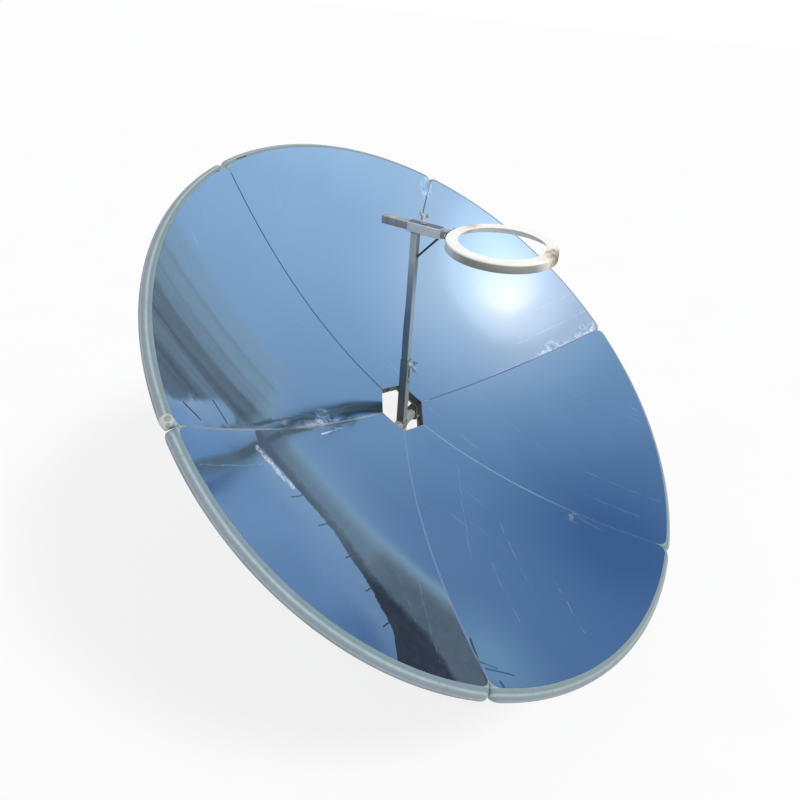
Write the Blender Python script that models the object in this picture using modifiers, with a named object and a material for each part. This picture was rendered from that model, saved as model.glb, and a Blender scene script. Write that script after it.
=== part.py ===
import math

import bmesh
import bpy
from mathutils import Matrix, Vector

# Driving dimensions, in metres. The floor is z = 0 and the column stands on x = y = 0.
mirror_radius = 0.750
focal_length = 0.578
elevation = math.radians(55.4)
dish_spin = math.radians(11.0)
vertex_height = 0.500
sheet = 0.0008
film = 0.0004
gap = 0.0003
seam_gap = 0.0002
side_flange = 0.016
flange_start = 0.110
flange_end = 0.010
seam_bolt_radius = 0.600
hub_corner = 0.0765
band_wall = 0.003
band_drop = 0.009
plate_thick = 0.003
plate_margin = 0.0345
axis_below = 0.0534
cross_radius = 0.014
cross_clearance = 0.001
end_play = 0.0015
axle_radius = 0.006
axle_shoulder = 0.0044
ear_inner = 0.060
ear_thick = 0.003
ear_half = 0.022
quadrant_radius = 0.085
quadrant_margin = 0.012
slot_clearance = 0.0006
clamp_radius = 0.004
lug_half = 0.010
head_drop = 0.010
tilt_low = math.radians(40.0)
tilt_high = math.radians(90.0)
outer_post = 0.023
outer_wall = 0.002
outer_top = 0.158
inner_wall = 0.0016
inner_foot = 0.020
arm_height = 0.5316
arm_size = 0.020
arm_wall = 0.0016
arm_rear = -0.093
sleeve_wall = 0.0022
sleeve_rear = -0.018
sleeve_front = 0.072
ring_x = 0.224
ring_top = 0.5464
ring_outer = 0.1288
ring_inner = 0.100
ring_skirt = 0.022
ring_wall = 0.002
column_radius = 0.0212
column_wall = 0.0026
beam_length = 0.700
beam_width = 0.040
beam_height = 0.020
beam_wall = 0.002
foot_height = 0.020
foot_inset = 0.020
foot_radius = 0.018

for thing in list(bpy.data.objects):
    bpy.data.objects.remove(thing, do_unlink=True)

cooker = bpy.data.collections.new("folding_solar_cooker")
cutters = bpy.data.collections.new("cutters")
bpy.context.scene.collection.children.link(cooker)
bpy.context.scene.collection.children.link(cutters)


def paint(name, colour, roughness, metallic):
    made = bpy.data.materials.new(name)
    made.use_nodes = True
    shader = made.node_tree.nodes["Principled BSDF"]
    shader.inputs["Base Color"].default_value = (*colour, 1.0)
    shader.inputs["Roughness"].default_value = roughness
    shader.inputs["Metallic"].default_value = metallic
    return made


def pivot(name, place, turn=(0.0, 0.0, 0.0), parent=None):
    empty = bpy.data.objects.new(name, None)
    empty.empty_display_size = 0.05
    empty.location = place
    empty.rotation_euler = turn
    empty.parent = parent
    cooker.objects.link(empty)
    return empty


def node(name, bm, material, parent, place=(0.0, 0.0, 0.0), turn=(0.0, 0.0, 0.0)):
    mesh = bpy.data.meshes.new(name)
    bmesh.ops.recalc_face_normals(bm, faces=bm.faces)
    bm.to_mesh(mesh)
    bm.free()
    made = bpy.data.objects.new(name, mesh)
    if material is None:
        made.hide_render = True
        made.display_type = "WIRE"
        cutters.objects.link(made)
    else:
        mesh.materials.append(paint(name, *material))
        cooker.objects.link(made)
    made.parent = parent
    made.location = place
    made.rotation_euler = turn
    return made


def box(bm, low, high, along=None, radius=0.0, segments=2):
    low, high = Vector(low), Vector(high)
    size = high - low
    matrix = Matrix.Translation((low + high) / 2) @ Matrix.Diagonal((*size, 1.0))
    verts = bmesh.ops.create_cube(bm, size=1.0, matrix=matrix)["verts"]
    if radius:
        edges = set()
        for vert in verts:
            for edge in vert.link_edges:
                way = (edge.verts[1].co - edge.verts[0].co).normalized()
                if along is None or abs(way["XYZ".index(along)]) > 0.9:
                    edges.add(edge)
        bmesh.ops.bevel(
            bm, geom=list(edges), offset=radius, segments=segments, affect="EDGES", profile=0.5
        )
    return bm


def rod(bm, start, end, radius, segments=24, second=None):
    start, end = Vector(start), Vector(end)
    way = end - start
    matrix = Matrix.Translation((start + end) / 2) @ way.to_track_quat("Z", "Y").to_matrix().to_4x4()
    bmesh.ops.create_cone(
        bm,
        cap_ends=True,
        segments=segments,
        radius1=radius,
        radius2=radius if second is None else second,
        depth=way.length,
        matrix=matrix,
    )
    return bm


def boolean(target, helper, how):
    step = target.modifiers.new(how.lower(), "BOOLEAN")
    step.operation = how
    step.solver = "EXACT"
    step.object = helper
    return target


def cut(target, bm, parent, place=(0.0, 0.0, 0.0), turn=(0.0, 0.0, 0.0)):
    count = len(cutters.objects)
    return boolean(target, node(f"cutter_{count}", bm, None, parent, place, turn), "DIFFERENCE")


def weld(target, bm, parent, place=(0.0, 0.0, 0.0), turn=(0.0, 0.0, 0.0)):
    count = len(cutters.objects)
    return boolean(target, node(f"welded_{count}", bm, None, parent, place, turn), "UNION")


def lathe(name, profile, material, parent, steps=40, place=(0, 0, 0), turn=(0, 0, 0), closed=False):
    bm = bmesh.new()
    verts = [bm.verts.new((r, 0.0, z)) for r, z in profile]
    ends = list(zip(verts, verts[1:])) + ([(verts[-1], verts[0])] if closed else [])
    for pair in ends:
        bm.edges.new(pair)
    made = node(name, bm, material, parent, place, turn)
    screw = made.modifiers.new("turned", "SCREW")
    screw.axis = "Z"
    screw.steps = screw.render_steps = steps
    screw.use_merge_vertices = True
    screw.merge_threshold = 0.00001
    screw.use_smooth_shade = False
    screw.use_normal_calculate = False
    return made


def square_tube(name, low, high, along, wall, material, parent, place=(0, 0, 0), turn=(0, 0, 0)):
    made = node(name, box(bmesh.new(), low, high, along, wall, 2), material, parent, place, turn)
    low, high = Vector(low), Vector(high)
    for index, letter in enumerate("XYZ"):
        grow = 0.01 if letter == along else -wall
        low[index] -= grow
        high[index] += grow
    cut(made, box(bmesh.new(), low, high), parent, place, turn)
    return made


def flat_plate(name, outline, holes, thick, material, parent, place=(0, 0, 0)):
    """A plate in the XZ plane, from y = 0 to y = thick."""
    curve = bpy.data.curves.new(name + "_outline", "CURVE")
    curve.dimensions = "2D"
    curve.fill_mode = "BOTH"
    curve.extrude = thick / 2
    for points in [outline, *holes]:
        spline = curve.splines.new("POLY")
        spline.points.add(len(points) - 1)
        for point, (x, z) in zip(spline.points, points):
            point.co = (x, z, 0.0, 1.0)
        spline.use_cyclic_u = True
    shape = bpy.data.objects.new(name + "_outline", curve)
    cutters.objects.link(shape)
    bm = bmesh.new()
    bm.from_mesh(shape.to_mesh())
    shape.to_mesh_clear()
    bpy.data.objects.remove(shape)
    bmesh.ops.remove_doubles(bm, verts=bm.verts, dist=0.000002)
    bmesh.ops.rotate(bm, verts=bm.verts, matrix=Matrix.Rotation(math.pi / 2, 3, "X"))
    bmesh.ops.translate(bm, verts=bm.verts, vec=(0.0, thick / 2, 0.0))
    return node(name, bm, material, parent, place)


def arc(radius, start, end, count):
    steps = [start + (end - start) * i / (count - 1) for i in range(count)]
    return [(radius * math.cos(a), radius * math.sin(a)) for a in steps]


def wing_bolt(name, reach, shank, material, parent, place, turn):
    """A bolt along local +Z: the shank runs below z = 0, a collar and two wings stand above it."""
    bm = rod(bmesh.new(), (0, 0, -reach), (0, 0, 0.004), shank, 20)
    made = node(name, bm, material, parent, place, turn)
    weld(made, rod(bmesh.new(), (0, 0, gap), (0, 0, 0.011), 0.0075, 20), parent, place, turn)
    wings = box(bmesh.new(), (-0.019, -0.0018, 0.007), (0.019, 0.0018, 0.024), "Y", 0.006, 3)
    weld(made, wings, parent, place, turn)
    return made


def star_knob(name, reach, shank, radius, material, parent, place, turn):
    bm = rod(bmesh.new(), (0, 0, -reach), (0, 0, 0.006), shank, 20)
    made = node(name, bm, material, parent, place, turn)
    grip = bmesh.new()
    bmesh.ops.create_cone(
        grip, cap_ends=True, segments=28, radius1=radius, radius2=radius, depth=0.018,
        matrix=Matrix.Translation((0, 0, 0.012 + gap)),
    )
    for vert in grip.verts:
        turn_angle = math.atan2(vert.co.y, vert.co.x)
        factor = 1.0 + 0.12 * math.cos(7 * turn_angle)
        vert.co.x *= factor / 1.12
        vert.co.y *= factor / 1.12
    weld(made, grip, parent, place, turn)
    return made


def hex_bolt(name, shank, head_low, head_high, nut_low, nut_high, across, material, parent, matrix):
    """A bolt along local +Z with its head at the low end and a nut at the high end."""
    place, turn = matrix.to_translation(), matrix.to_euler()
    corner = across / math.sqrt(3)
    bm = rod(bmesh.new(), (0, 0, head_low + 0.001), (0, 0, nut_high + 0.0015), shank, 16)
    made = node(name, bm, material, parent, place, turn)
    weld(made, rod(bmesh.new(), (0, 0, head_low), (0, 0, head_high), corner, 6), parent, place, turn)
    weld(made, rod(bmesh.new(), (0, 0, nut_low), (0, 0, nut_high), corner, 6), parent, place, turn)
    return made


galvanised = ((0.52, 0.55, 0.56), 0.42, 0.85)
tube_grey = ((0.36, 0.40, 0.42), 0.45, 0.6)
mirror = ((0.78, 0.86, 0.95), 0.06, 1.0)
sheet_grey = ((0.50, 0.54, 0.52), 0.5, 0.4)
zinc = ((0.70, 0.70, 0.68), 0.3, 1.0)
white = ((0.85, 0.84, 0.80), 0.45, 0.0)
olive = ((0.28, 0.29, 0.22), 0.55, 0.2)
dark = ((0.03, 0.03, 0.03), 0.6, 0.0)
painted = ((0.30, 0.33, 0.35), 0.5, 0.2)

pivot_height = vertex_height - axis_below
back = axis_below * math.sin(elevation)
side = axis_below * math.cos(elevation)
apothem = hub_corner * math.cos(math.pi / 6)
half_petal = math.pi / 6
flange_low_z = cross_radius + cross_clearance - back
inner_flange = 0.001 - flange_low_z
cross_half = ear_inner - end_play
axle_corner = axle_radius + axle_shoulder
inner_post = outer_post - 2 * (outer_wall + gap)
sleeve_size = arm_size + 2 * (gap + sleeve_wall)

# The stand below the tilt axis.
beam_low = foot_height
foot_reach = beam_length / 2 - foot_inset
upper_low = beam_low + beam_height + gap
flange_low = upper_low + beam_height + gap
stud_low = 0.0085
collar_low = -quadrant_radius - lug_half - head_drop
column_top = pivot_height + collar_low - gap
bore_radius = column_radius - column_wall
spigot_radius = bore_radius - gap

base = pivot("base_origin", (0, 0, 0))
lathe(
    "column",
    [
        (0.0, column_top - 0.24),
        (bore_radius, column_top - 0.24),
        (bore_radius, column_top),
        (column_radius, column_top),
        (column_radius, flange_low + 0.006),
        (0.045, flange_low + 0.005),
        (0.045, flange_low),
        (0.006, flange_low),
        (0.006, stud_low),
        (0.0, stud_low),
    ],
    painted,
    base,
    steps=32,
)
column = bpy.data.objects["column"]
knob_height = column_top - 0.035
cut(column, rod(bmesh.new(), (-0.06, 0, knob_height), (-0.01, 0, knob_height), clamp_radius + gap, 16), base)

diagonal = (0.0, 0.0, math.pi / 4)
half = beam_length / 2
lower = square_tube(
    "beam_lower",
    (-half, -beam_width / 2, beam_low),
    (half, beam_width / 2, beam_low + beam_height),
    "X",
    beam_wall,
    painted,
    base,
    turn=diagonal,
)
cut(lower, rod(bmesh.new(), (0, 0, 0.01), (0, 0, 0.09), 0.0063, 20), base)

fold = pivot("base_fold_axis", (0, 0, 0), (0, 0, -math.pi / 4))
upper = square_tube(
    "beam_upper",
    (-half, -beam_width / 2, upper_low),
    (half, beam_width / 2, upper_low + beam_height),
    "X",
    beam_wall,
    painted,
    fold,
)
cut(upper, rod(bmesh.new(), (0, 0, 0.01), (0, 0, 0.09), 0.0063, 20), fold)

base_nut = node(
    "base_nut", rod(bmesh.new(), (0, 0, 0.0095), (0, 0, beam_low - gap), 0.011, 6), zinc, base
)
cut(base_nut, rod(bmesh.new(), (0, 0, 0.0), (0, 0, 0.03), 0.0063, 20), base)

lathe(
    "centre_foot",
    [
        (0.0, 0.0075),
        (0.014, 0.0075),
        (0.014, beam_low - gap),
        (0.028, beam_low - gap),
        (0.030, 0.002),
        (0.028, 0.0),
        (0.0, 0.0),
    ],
    dark,
    base,
    steps=28,
)

foot_spots = [
    (base, math.pi / 4, 1, beam_low - gap),
    (base, math.pi / 4, -1, beam_low - gap),
    (fold, 0.0, 1, upper_low - gap),
    (fold, 0.0, -1, upper_low - gap),
]
for index, (holder, angle, way, top) in enumerate(foot_spots):
    lathe(
        f"foot_{index + 1}",
        [
            (0.0, top),
            (foot_radius - 0.003, top),
            (foot_radius, 0.002),
            (foot_radius - 0.001, 0.0),
            (0.0, 0.0),
        ],
        dark,
        holder,
        steps=24,
        place=(way * foot_reach * math.cos(angle), way * foot_reach * math.sin(angle), 0),
    )

# The swivel head turns in the column; every height below is measured from the tilt axis.
head = pivot("swivel_axis", (0, 0, pivot_height))
stand_head = lathe(
    "stand_head",
    [
        (0.0, -0.004),
        (0.016, -0.004),
        (0.016, collar_low + 0.0065),
        (0.025, collar_low + 0.0065),
        (0.025, collar_low),
        (spigot_radius, collar_low),
        (spigot_radius, collar_low - 0.080),
        (0.0, collar_low - 0.080),
    ],
    galvanised,
    head,
    steps=32,
)
weld(stand_head, rod(bmesh.new(), (0, -cross_half, 0), (0, cross_half, 0), cross_radius, 32), head)
lug_low, lug_high = -quadrant_radius - lug_half, -quadrant_radius + lug_half
weld(
    stand_head,
    box(bmesh.new(), (-lug_half, gap - ear_inner, lug_low), (lug_half, 0.0, lug_high), "Y", 0.002, 2),
    head,
)
cut(stand_head, rod(bmesh.new(), (0, -0.2, 0), (0, 0.2, 0), axle_radius + gap, 32), head)
lug_mouth = Vector((0, -ear_inner - 0.04, -quadrant_radius))
lug_hole = rod(bmesh.new(), lug_mouth, (0, -ear_inner + 0.024, -quadrant_radius), clamp_radius + gap, 20)
cut(stand_head, lug_hole, head)

swivel_knob_axis = pivot("swivel_knob_axis", (-column_radius - gap, 0, knob_height), (0, -math.pi / 2, 0))
star_knob("swivel_knob", column_wall, clamp_radius, 0.016, dark, swivel_knob_axis, (0, 0, 0), (0, 0, 0))

tilt_knob_axis = pivot(
    "tilt_knob_axis", (0, -ear_inner - ear_thick - gap, -quadrant_radius), (math.pi / 2, 0, 0), head
)
star_knob("tilt_knob", ear_thick + 0.024, clamp_radius, 0.017, dark, tilt_knob_axis, (0, 0, 0), (0, 0, 0))

# The lower post stands on the cross tube with a shaped foot.
top = outer_top + axis_below
post_outer = square_tube(
    "post_outer",
    (-outer_post / 2, -outer_post / 2, 0.0),
    (outer_post / 2, outer_post / 2, top),
    "Z",
    outer_wall,
    galvanised,
    head,
)
cut(post_outer, rod(bmesh.new(), (0, -0.03, 0), (0, 0.03, 0), cross_radius + gap, 32), head)
near, far = outer_post / 2 - outer_wall - 0.0005, outer_post / 2 + 0.01
slot_low, slot_high = axis_below + 0.105, axis_below + 0.130
slot = box(bmesh.new(), (near, -0.0032, slot_low), (far, 0.0032, slot_high), "X", 0.0030, 3)
cut(post_outer, slot, head)
for height, hole_radius in ((axis_below + 0.090, 0.003), (axis_below + 0.145, clamp_radius + gap)):
    cut(post_outer, rod(bmesh.new(), (near, 0, height), (far, 0, height), hole_radius, 16), head)
clamp_axis = pivot(
    "post_clamp_axis", (outer_post / 2, 0, axis_below + 0.145), (0, math.pi / 2, 0), head
)
wing_bolt("post_wing_bolt", outer_wall, clamp_radius, zinc, clamp_axis, (0, 0, 0), (0, 0, 0))

# The upper post slides in the lower one and carries the arm's sleeve.
slide = pivot("post_slide_axis", (0, 0, 0), parent=head)
arm_z = arm_height + axis_below
post_top = arm_z - sleeve_size / 2 - gap
square_tube(
    "post_inner",
    (-inner_post / 2, -inner_post / 2, inner_foot + axis_below),
    (inner_post / 2, inner_post / 2, post_top),
    "Z",
    inner_wall,
    tube_grey,
    slide,
)
sleeve = square_tube(
    "head_sleeve",
    (sleeve_rear, -sleeve_size / 2, arm_z - sleeve_size / 2),
    (sleeve_front, sleeve_size / 2, arm_z + sleeve_size / 2),
    "X",
    sleeve_wall,
    tube_grey,
    slide,
)
bolt_x = 0.020
sleeve_top = arm_z + sleeve_size / 2
cut(
    sleeve,
    rod(
        bmesh.new(),
        (bolt_x, 0, sleeve_top - sleeve_wall - gap),
        (bolt_x, 0, sleeve_top + 0.004),
        clamp_radius + gap,
        20,
    ),
    slide,
)
brace_low, brace_high = 0.455 + axis_below, arm_z - sleeve_size / 2
brace_start = Vector((inner_post / 2 - 0.004, 0, brace_low - 0.004))
brace_end = Vector((sleeve_front - 0.006, 0, brace_high + 0.004))
brace = node("head_brace", rod(bmesh.new(), brace_start, brace_end, 0.003, 16), tube_grey, slide)
cut(
    brace,
    box(bmesh.new(), (-0.03, -0.02, 0.3), (inner_post / 2 + gap, 0.02, 0.7)),
    slide,
)
cut(
    brace,
    box(bmesh.new(), (0.02, -0.02, arm_z - sleeve_size / 2 - gap), (0.2, 0.02, arm_z + 0.1)),
    slide,
)

# The wing bolt that clamps the arm stands in a boss on the sleeve.
arm_clamp = pivot("arm_clamp_axis", (bolt_x, 0, sleeve_top), parent=slide)
arm_bolt = node(
    "arm_wing_bolt", rod(bmesh.new(), (0, 0, -sleeve_wall), (0, 0, 0.018), clamp_radius, 20), zinc, arm_clamp
)
weld(arm_bolt, rod(bmesh.new(), (0, 0, gap), (0, 0, 0.0075), 0.0095, 6), arm_clamp)
weld(arm_bolt, rod(bmesh.new(), (0, 0, 0.0065), (0, 0, 0.019), 0.0060, 20), arm_clamp)
arm_wings = box(bmesh.new(), (-0.0150, -0.0018, 0.0160), (0.0150, 0.0018, 0.0320), "Y", 0.006, 3)
weld(arm_bolt, arm_wings, arm_clamp)

# The arm slides in the sleeve and carries the pot ring.
arm = pivot("arm_slide_axis", (0, 0, arm_z), parent=slide)
ring_edge = ring_x - ring_outer
plate_front = ring_edge - gap
plate_rear = plate_front - 0.003
arm_front = plate_rear - gap
cap = 0.0025
square_tube(
    "arm_tube",
    (arm_rear + cap + gap, -arm_size / 2, -arm_size / 2),
    (arm_front, arm_size / 2, arm_size / 2),
    "X",
    arm_wall,
    galvanised,
    arm,
)
plug = arm_size / 2 - arm_wall - gap
end_cap = node(
    "arm_end_cap",
    box(
        bmesh.new(),
        (arm_rear, -arm_size / 2, -arm_size / 2),
        (arm_rear + cap, arm_size / 2, arm_size / 2),
        "X",
        0.0016,
    ),
    dark,
    arm,
)
weld(end_cap, box(bmesh.new(), (arm_rear + 0.001, -plug, -plug), (arm_rear + 0.014, plug, plug)), arm)

ring_level = ring_top - arm_height
bracket = node(
    "ring_bracket",
    box(
        bmesh.new(),
        (plate_rear, -0.024, ring_level - ring_skirt + 0.0005),
        (plate_front, 0.024, ring_level - 0.0025),
        "X",
        0.003,
    ),
    olive,
    arm,
)
weld(bracket, box(bmesh.new(), (arm_front - 0.024, -plug, -plug), (plate_rear + 0.001, plug, plug)), arm)

bolt_y = 0.0170
bolt_z = ring_level - 0.0115
ring = lathe(
    "pot_ring",
    [
        (ring_inner, 0.0),
        (ring_outer - 0.0040, 0.0),
        (ring_outer - 0.0012, -0.0012),
        (ring_outer, -0.0040),
        (ring_outer, -ring_skirt),
        (ring_outer - ring_wall, -ring_skirt),
        (ring_outer - ring_wall, -0.0045),
        (ring_outer - ring_wall - 0.0008, -0.0028),
        (ring_outer - 0.0045, -ring_wall),
        (ring_inner, -ring_wall),
    ],
    white,
    arm,
    steps=56,
    place=(ring_x, 0, ring_level),
    closed=True,
)
for number, sign in ((1, -1), (2, 1)):
    y = sign * bolt_y
    cut(bracket, rod(bmesh.new(), (0.05, y, bolt_z), (0.12, y, bolt_z), 0.0033, 16), arm)
    cut(ring, rod(bmesh.new(), (0.08, y, bolt_z), (0.12, y, bolt_z), 0.0033, 16), arm)
    inner_face = ring_x - math.sqrt((ring_outer - ring_wall) ** 2 - bolt_y**2)
    hex_bolt(
        f"ring_bolt_{number}",
        0.0029,
        plate_rear - gap - 0.004,
        plate_rear - gap,
        inner_face + 0.0012,
        inner_face + 0.0052,
        0.009,
        zinc,
        arm,
        Matrix.Translation((0, y, bolt_z)) @ Matrix.Rotation(math.pi / 2, 4, "Y"),
    )

# The dish tilts about the cross tube. Its own frame has the vertex at the origin and +Z to the sun.
tilt = pivot("tilt_axis", (0, 0, 0), (0, math.pi / 2 - elevation, 0), head)
dish = pivot("dish_vertex", (-side, 0, back), parent=tilt)

band_inner = apothem + sheet + gap
band_outer = band_inner + band_wall
plate_low = flange_low_z - 0.0002
plate_top = plate_low + plate_thick
plate_radius = band_outer + plate_margin
hexagon = 1.0 / math.cos(math.pi / 6)


def hex_prism(radius, low, high):
    bm = bmesh.new()
    bmesh.ops.create_cone(
        bm, cap_ends=True, segments=6, radius1=radius, radius2=radius, depth=high - low,
        matrix=Matrix.Translation((0, 0, (low + high) / 2)) @ Matrix.Rotation(dish_spin, 4, "Z"),
    )
    corner = max(bm.verts, key=lambda vert: vert.co.x)
    offset = (math.atan2(corner.co.y, corner.co.x) - dish_spin) % (math.pi / 3)
    bmesh.ops.rotate(bm, verts=bm.verts, matrix=Matrix.Rotation(-offset, 3, "Z"))
    return bm


hub = node("hub_ring", hex_prism(band_outer * hexagon, plate_low, -band_drop), galvanised, dish)
weld(hub, rod(bmesh.new(), (0, 0, plate_low), (0, 0, plate_top), plate_radius, 40), dish)
cut(hub, hex_prism(band_inner * hexagon, plate_low - 0.01, 0.01), dish)

ear_top = plate_low - gap + back
ear_bolt_y = band_outer + 0.0137
ear_bolt_x = 0.013
ears = (("tilt_plate", -1), ("pivot_ear", 1))
for ear_name, sign in ears:
    hole = arc(axle_radius + gap, 0, 2 * math.pi * 31 / 32, 32)
    if sign < 0:
        margin = math.radians(6)
        low, high = -tilt_high, -tilt_low
        rim = quadrant_radius + quadrant_margin
        outline = [(ear_half, ear_top), (-ear_half, ear_top), (-ear_half, -0.012)]
        outline += arc(rim, low - 2 * margin, high + 2 * margin, 20)
        outline += [(ear_half, -0.002)]
        slot_half = clamp_radius + slot_clearance
        inside, outside = quadrant_radius - slot_half, quadrant_radius + slot_half
        reach = math.radians(1.5)
        slot_outline = arc(outside, low - reach, high + reach, 18)
        nose = math.atan2(slot_half, quadrant_radius)
        slot_outline += arc(quadrant_radius, high + reach + nose, high + reach + nose, 2)[:1]
        slot_outline += arc(inside, high + reach, low - reach, 18)
        slot_outline += arc(quadrant_radius, low - reach - nose, low - reach - nose, 2)[:1]
        holes = [hole, slot_outline]
        start = -ear_inner - ear_thick
    else:
        outline = [(ear_half, ear_top), (-ear_half, ear_top), *arc(ear_half, -math.pi, 0, 17)]
        holes = [hole]
        start = ear_inner
    ear = flat_plate(ear_name, outline, holes, ear_thick, galvanised, tilt, (0, start, 0))
    low_y, high_y = sorted((sign * (ear_inner + 0.0002), sign * (ear_bolt_y + 0.014)))
    weld(
        ear,
        box(bmesh.new(), (-ear_half, low_y, ear_top - 0.003), (ear_half, high_y, ear_top - 0.00001)),
        tilt,
    )
    for number, way in ((1, -1), (2, 1)):
        x, y = way * ear_bolt_x, sign * ear_bolt_y
        cut(ear, rod(bmesh.new(), (x, y, 0), (x, y, 0.03), 0.0033, 16), tilt)
        cut(hub, rod(bmesh.new(), (x, y, 0), (x, y, 0.03), 0.0033, 16), tilt)
        hex_bolt(
            f"ear_bolt_{number if sign < 0 else number + 2}",
            0.0029,
            ear_top - 0.003 - gap - 0.004,
            ear_top - 0.003 - gap,
            ear_top + gap + plate_thick + gap,
            ear_top + gap + plate_thick + gap + 0.004,
            0.010,
            zinc,
            tilt,
            Matrix.Translation((x, y, 0)),
        )

axle_end = ear_inner + ear_thick + gap
axle = node(
    "axle", rod(bmesh.new(), (0, -axle_end - 0.004, 0), (0, axle_end + 0.012, 0), axle_radius, 32), zinc, tilt
)
weld(axle, rod(bmesh.new(), (0, -axle_end - 0.008, 0), (0, -axle_end, 0), axle_corner, 6), tilt)
axle_nut = node(
    "axle_nut", rod(bmesh.new(), (0, axle_end, 0), (0, axle_end + 0.009, 0), axle_corner, 6), zinc, tilt
)
cut(axle_nut, rod(bmesh.new(), (0, 0.04, 0), (0, 0.1, 0), axle_radius + gap, 32), tilt)

rim_profile = [
    (0.0074, 0.0, 0.0),
    (0.0125, -0.0016, 0.0),
    (0.0170, -0.0040, 0.0075),
    (0.0208, -0.0080, 0.0155),
    (0.0228, -0.0120, 0.0190),
    (0.0230, -0.0140, 0.0195),
]
seam_length = mirror_radius - hub_corner
first_step, last_step = (flange_start - hub_corner) / seam_length, 1 - flange_end / seam_length
row_steps = [first_step + (last_step - first_step) * i / 7 for i in range(8)]
row_steps = [0.0, *row_steps, 1.0]
column_count = 12


def surface(radius, depth):
    slope = radius / (2 * focal_length)
    return radius * radius / (4 * focal_length) - depth * math.hypot(1.0, slope)


def petal_mesh(name):
    """Sheet from the inner flange to the rolled rim, with a flange turned back along each seam."""
    rows = 2 + len(row_steps) - 1 + len(rim_profile)
    columns = column_count + 3
    bm = bmesh.new()
    bmesh.ops.create_grid(bm, x_segments=rows - 1, y_segments=columns - 1, size=0.5)
    bm.verts.ensure_lookup_table()
    depth = film + gap
    spare = []
    for vert in bm.verts:
        i = round((vert.co.x + 0.5) * (rows - 1))
        j = round((vert.co.y + 0.5) * (columns - 1))
        spread = max(-1.0, min(1.0, (j - 1) / column_count * 2 - 1))
        angle = spread * half_petal
        start = apothem / math.cos(angle)
        beyond = i - 1 - (len(row_steps) - 1)
        if beyond <= 0:
            step = row_steps[max(i - 1, 0)]
            radius = start + (mirror_radius - start) * step
            height = surface(radius, depth)
            inset = 0.0
        else:
            over, drop, inset = rim_profile[beyond - 1]
            radius = mirror_radius + over
            height = surface(mirror_radius, depth) + drop
            step = 2.0
        limit = half_petal - math.asin((seam_gap + inset) / radius)
        angle = spread * limit
        on_side = j in (0, columns - 1)
        if on_side:
            height -= side_flange
            if not first_step - 0.001 < step < last_step + 0.001:
                spare.append(vert)
        if i == 0:
            height = flange_low_z
        if i <= 1:
            radius = apothem / math.cos(angle)
        vert.co = (radius * math.cos(angle), radius * math.sin(angle), height)
    bmesh.ops.delete(bm, geom=spare, context="VERTS")
    mesh = bpy.data.meshes.new(name)
    bm.to_mesh(mesh)
    bm.free()
    return mesh


def film_mesh(name):
    rows, columns = len(row_steps), column_count + 1
    bm = bmesh.new()
    bmesh.ops.create_grid(bm, x_segments=rows - 1, y_segments=columns - 1, size=0.5)
    for vert in bm.verts:
        i = round((vert.co.x + 0.5) * (rows - 1))
        j = round((vert.co.y + 0.5) * (columns - 1))
        spread = j / column_count * 2 - 1
        start = apothem / math.cos(spread * half_petal)
        radius = start + (mirror_radius - start) * row_steps[i]
        if i == 0:
            radius += 0.0015
        angle = spread * (half_petal - math.asin(0.0005 / radius))
        vert.co = (radius * math.cos(angle), radius * math.sin(angle), surface(radius, 0.0))
    mesh = bpy.data.meshes.new(name)
    bm.to_mesh(mesh)
    bm.free()
    return mesh


def thicken(target, thickness):
    step = target.modifiers.new("thickness", "SOLIDIFY")
    step.thickness = thickness
    step.offset = -1.0
    step.use_even_offset = True
    step.use_quality_normals = True
    return target


bolt_depth = film + gap + 0.0085


def petal_cutter(name):
    bm = bmesh.new()
    height = -inner_flange / 2 - 0.002
    rod(bm, (apothem - 0.01, 0, height), (apothem + 0.02, 0, height), 0.0033, 16)
    for sign in (-1, 1):
        along = Vector((math.cos(half_petal), sign * math.sin(half_petal), 0))
        across = Vector((-math.sin(half_petal), sign * math.cos(half_petal), 0))
        centre = along * seam_bolt_radius
        centre.z = surface(seam_bolt_radius, bolt_depth)
        rod(bm, centre - across * 0.004, centre + across * 0.004, 0.0033, 16)
    return bm


petal_source, film_source = petal_mesh("petal_sheet"), film_mesh("mirror_skin")
for number in range(6):
    angle = dish_spin + half_petal + number * math.pi / 3
    spin = pivot(f"petal_spin_{number + 1}", (0, 0, 0), (0, 0, angle), dish)
    petal = bpy.data.objects.new(f"petal_{number + 1}", petal_source.copy())
    petal.data.materials.append(paint(petal.name, *sheet_grey))
    petal.parent = spin
    cooker.objects.link(petal)
    thicken(petal, sheet)
    cut(petal, petal_cutter("petal_cutter"), spin)
    skin = bpy.data.objects.new(f"mirror_film_{number + 1}", film_source.copy())
    skin.data.materials.append(paint(skin.name, *mirror))
    skin.parent = spin
    cooker.objects.link(skin)
    thicken(skin, film)

    height = -inner_flange / 2 - 0.002
    cut(hub, rod(bmesh.new(), (apothem - 0.01, 0, height), (apothem + 0.02, 0, height), 0.0033, 16), spin)
    hex_bolt(
        f"hub_bolt_{number + 1}",
        0.0029,
        apothem - gap - 0.0032,
        apothem - gap,
        band_outer + gap,
        band_outer + gap + 0.004,
        0.0095,
        zinc,
        spin,
        Matrix.Translation((0, 0, height)) @ Matrix.Rotation(math.pi / 2, 4, "Y"),
    )

    seam = dish_spin + number * math.pi / 3
    along = Vector((math.cos(seam), math.sin(seam), 0)) * seam_bolt_radius
    along.z = surface(seam_bolt_radius, bolt_depth)
    stack = seam_gap + sheet + gap
    hex_bolt(
        f"seam_bolt_{number + 1}",
        0.0029,
        -stack - 0.004,
        -stack,
        stack,
        stack + 0.0045,
        0.0095,
        zinc,
        dish,
        Matrix.Translation(along)
        @ Matrix.Rotation(seam, 4, "Z")
        @ Matrix.Rotation(-math.pi / 2, 4, "X"),
    )

bpy.context.view_layer.update()
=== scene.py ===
import math
from functools import reduce

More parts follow.
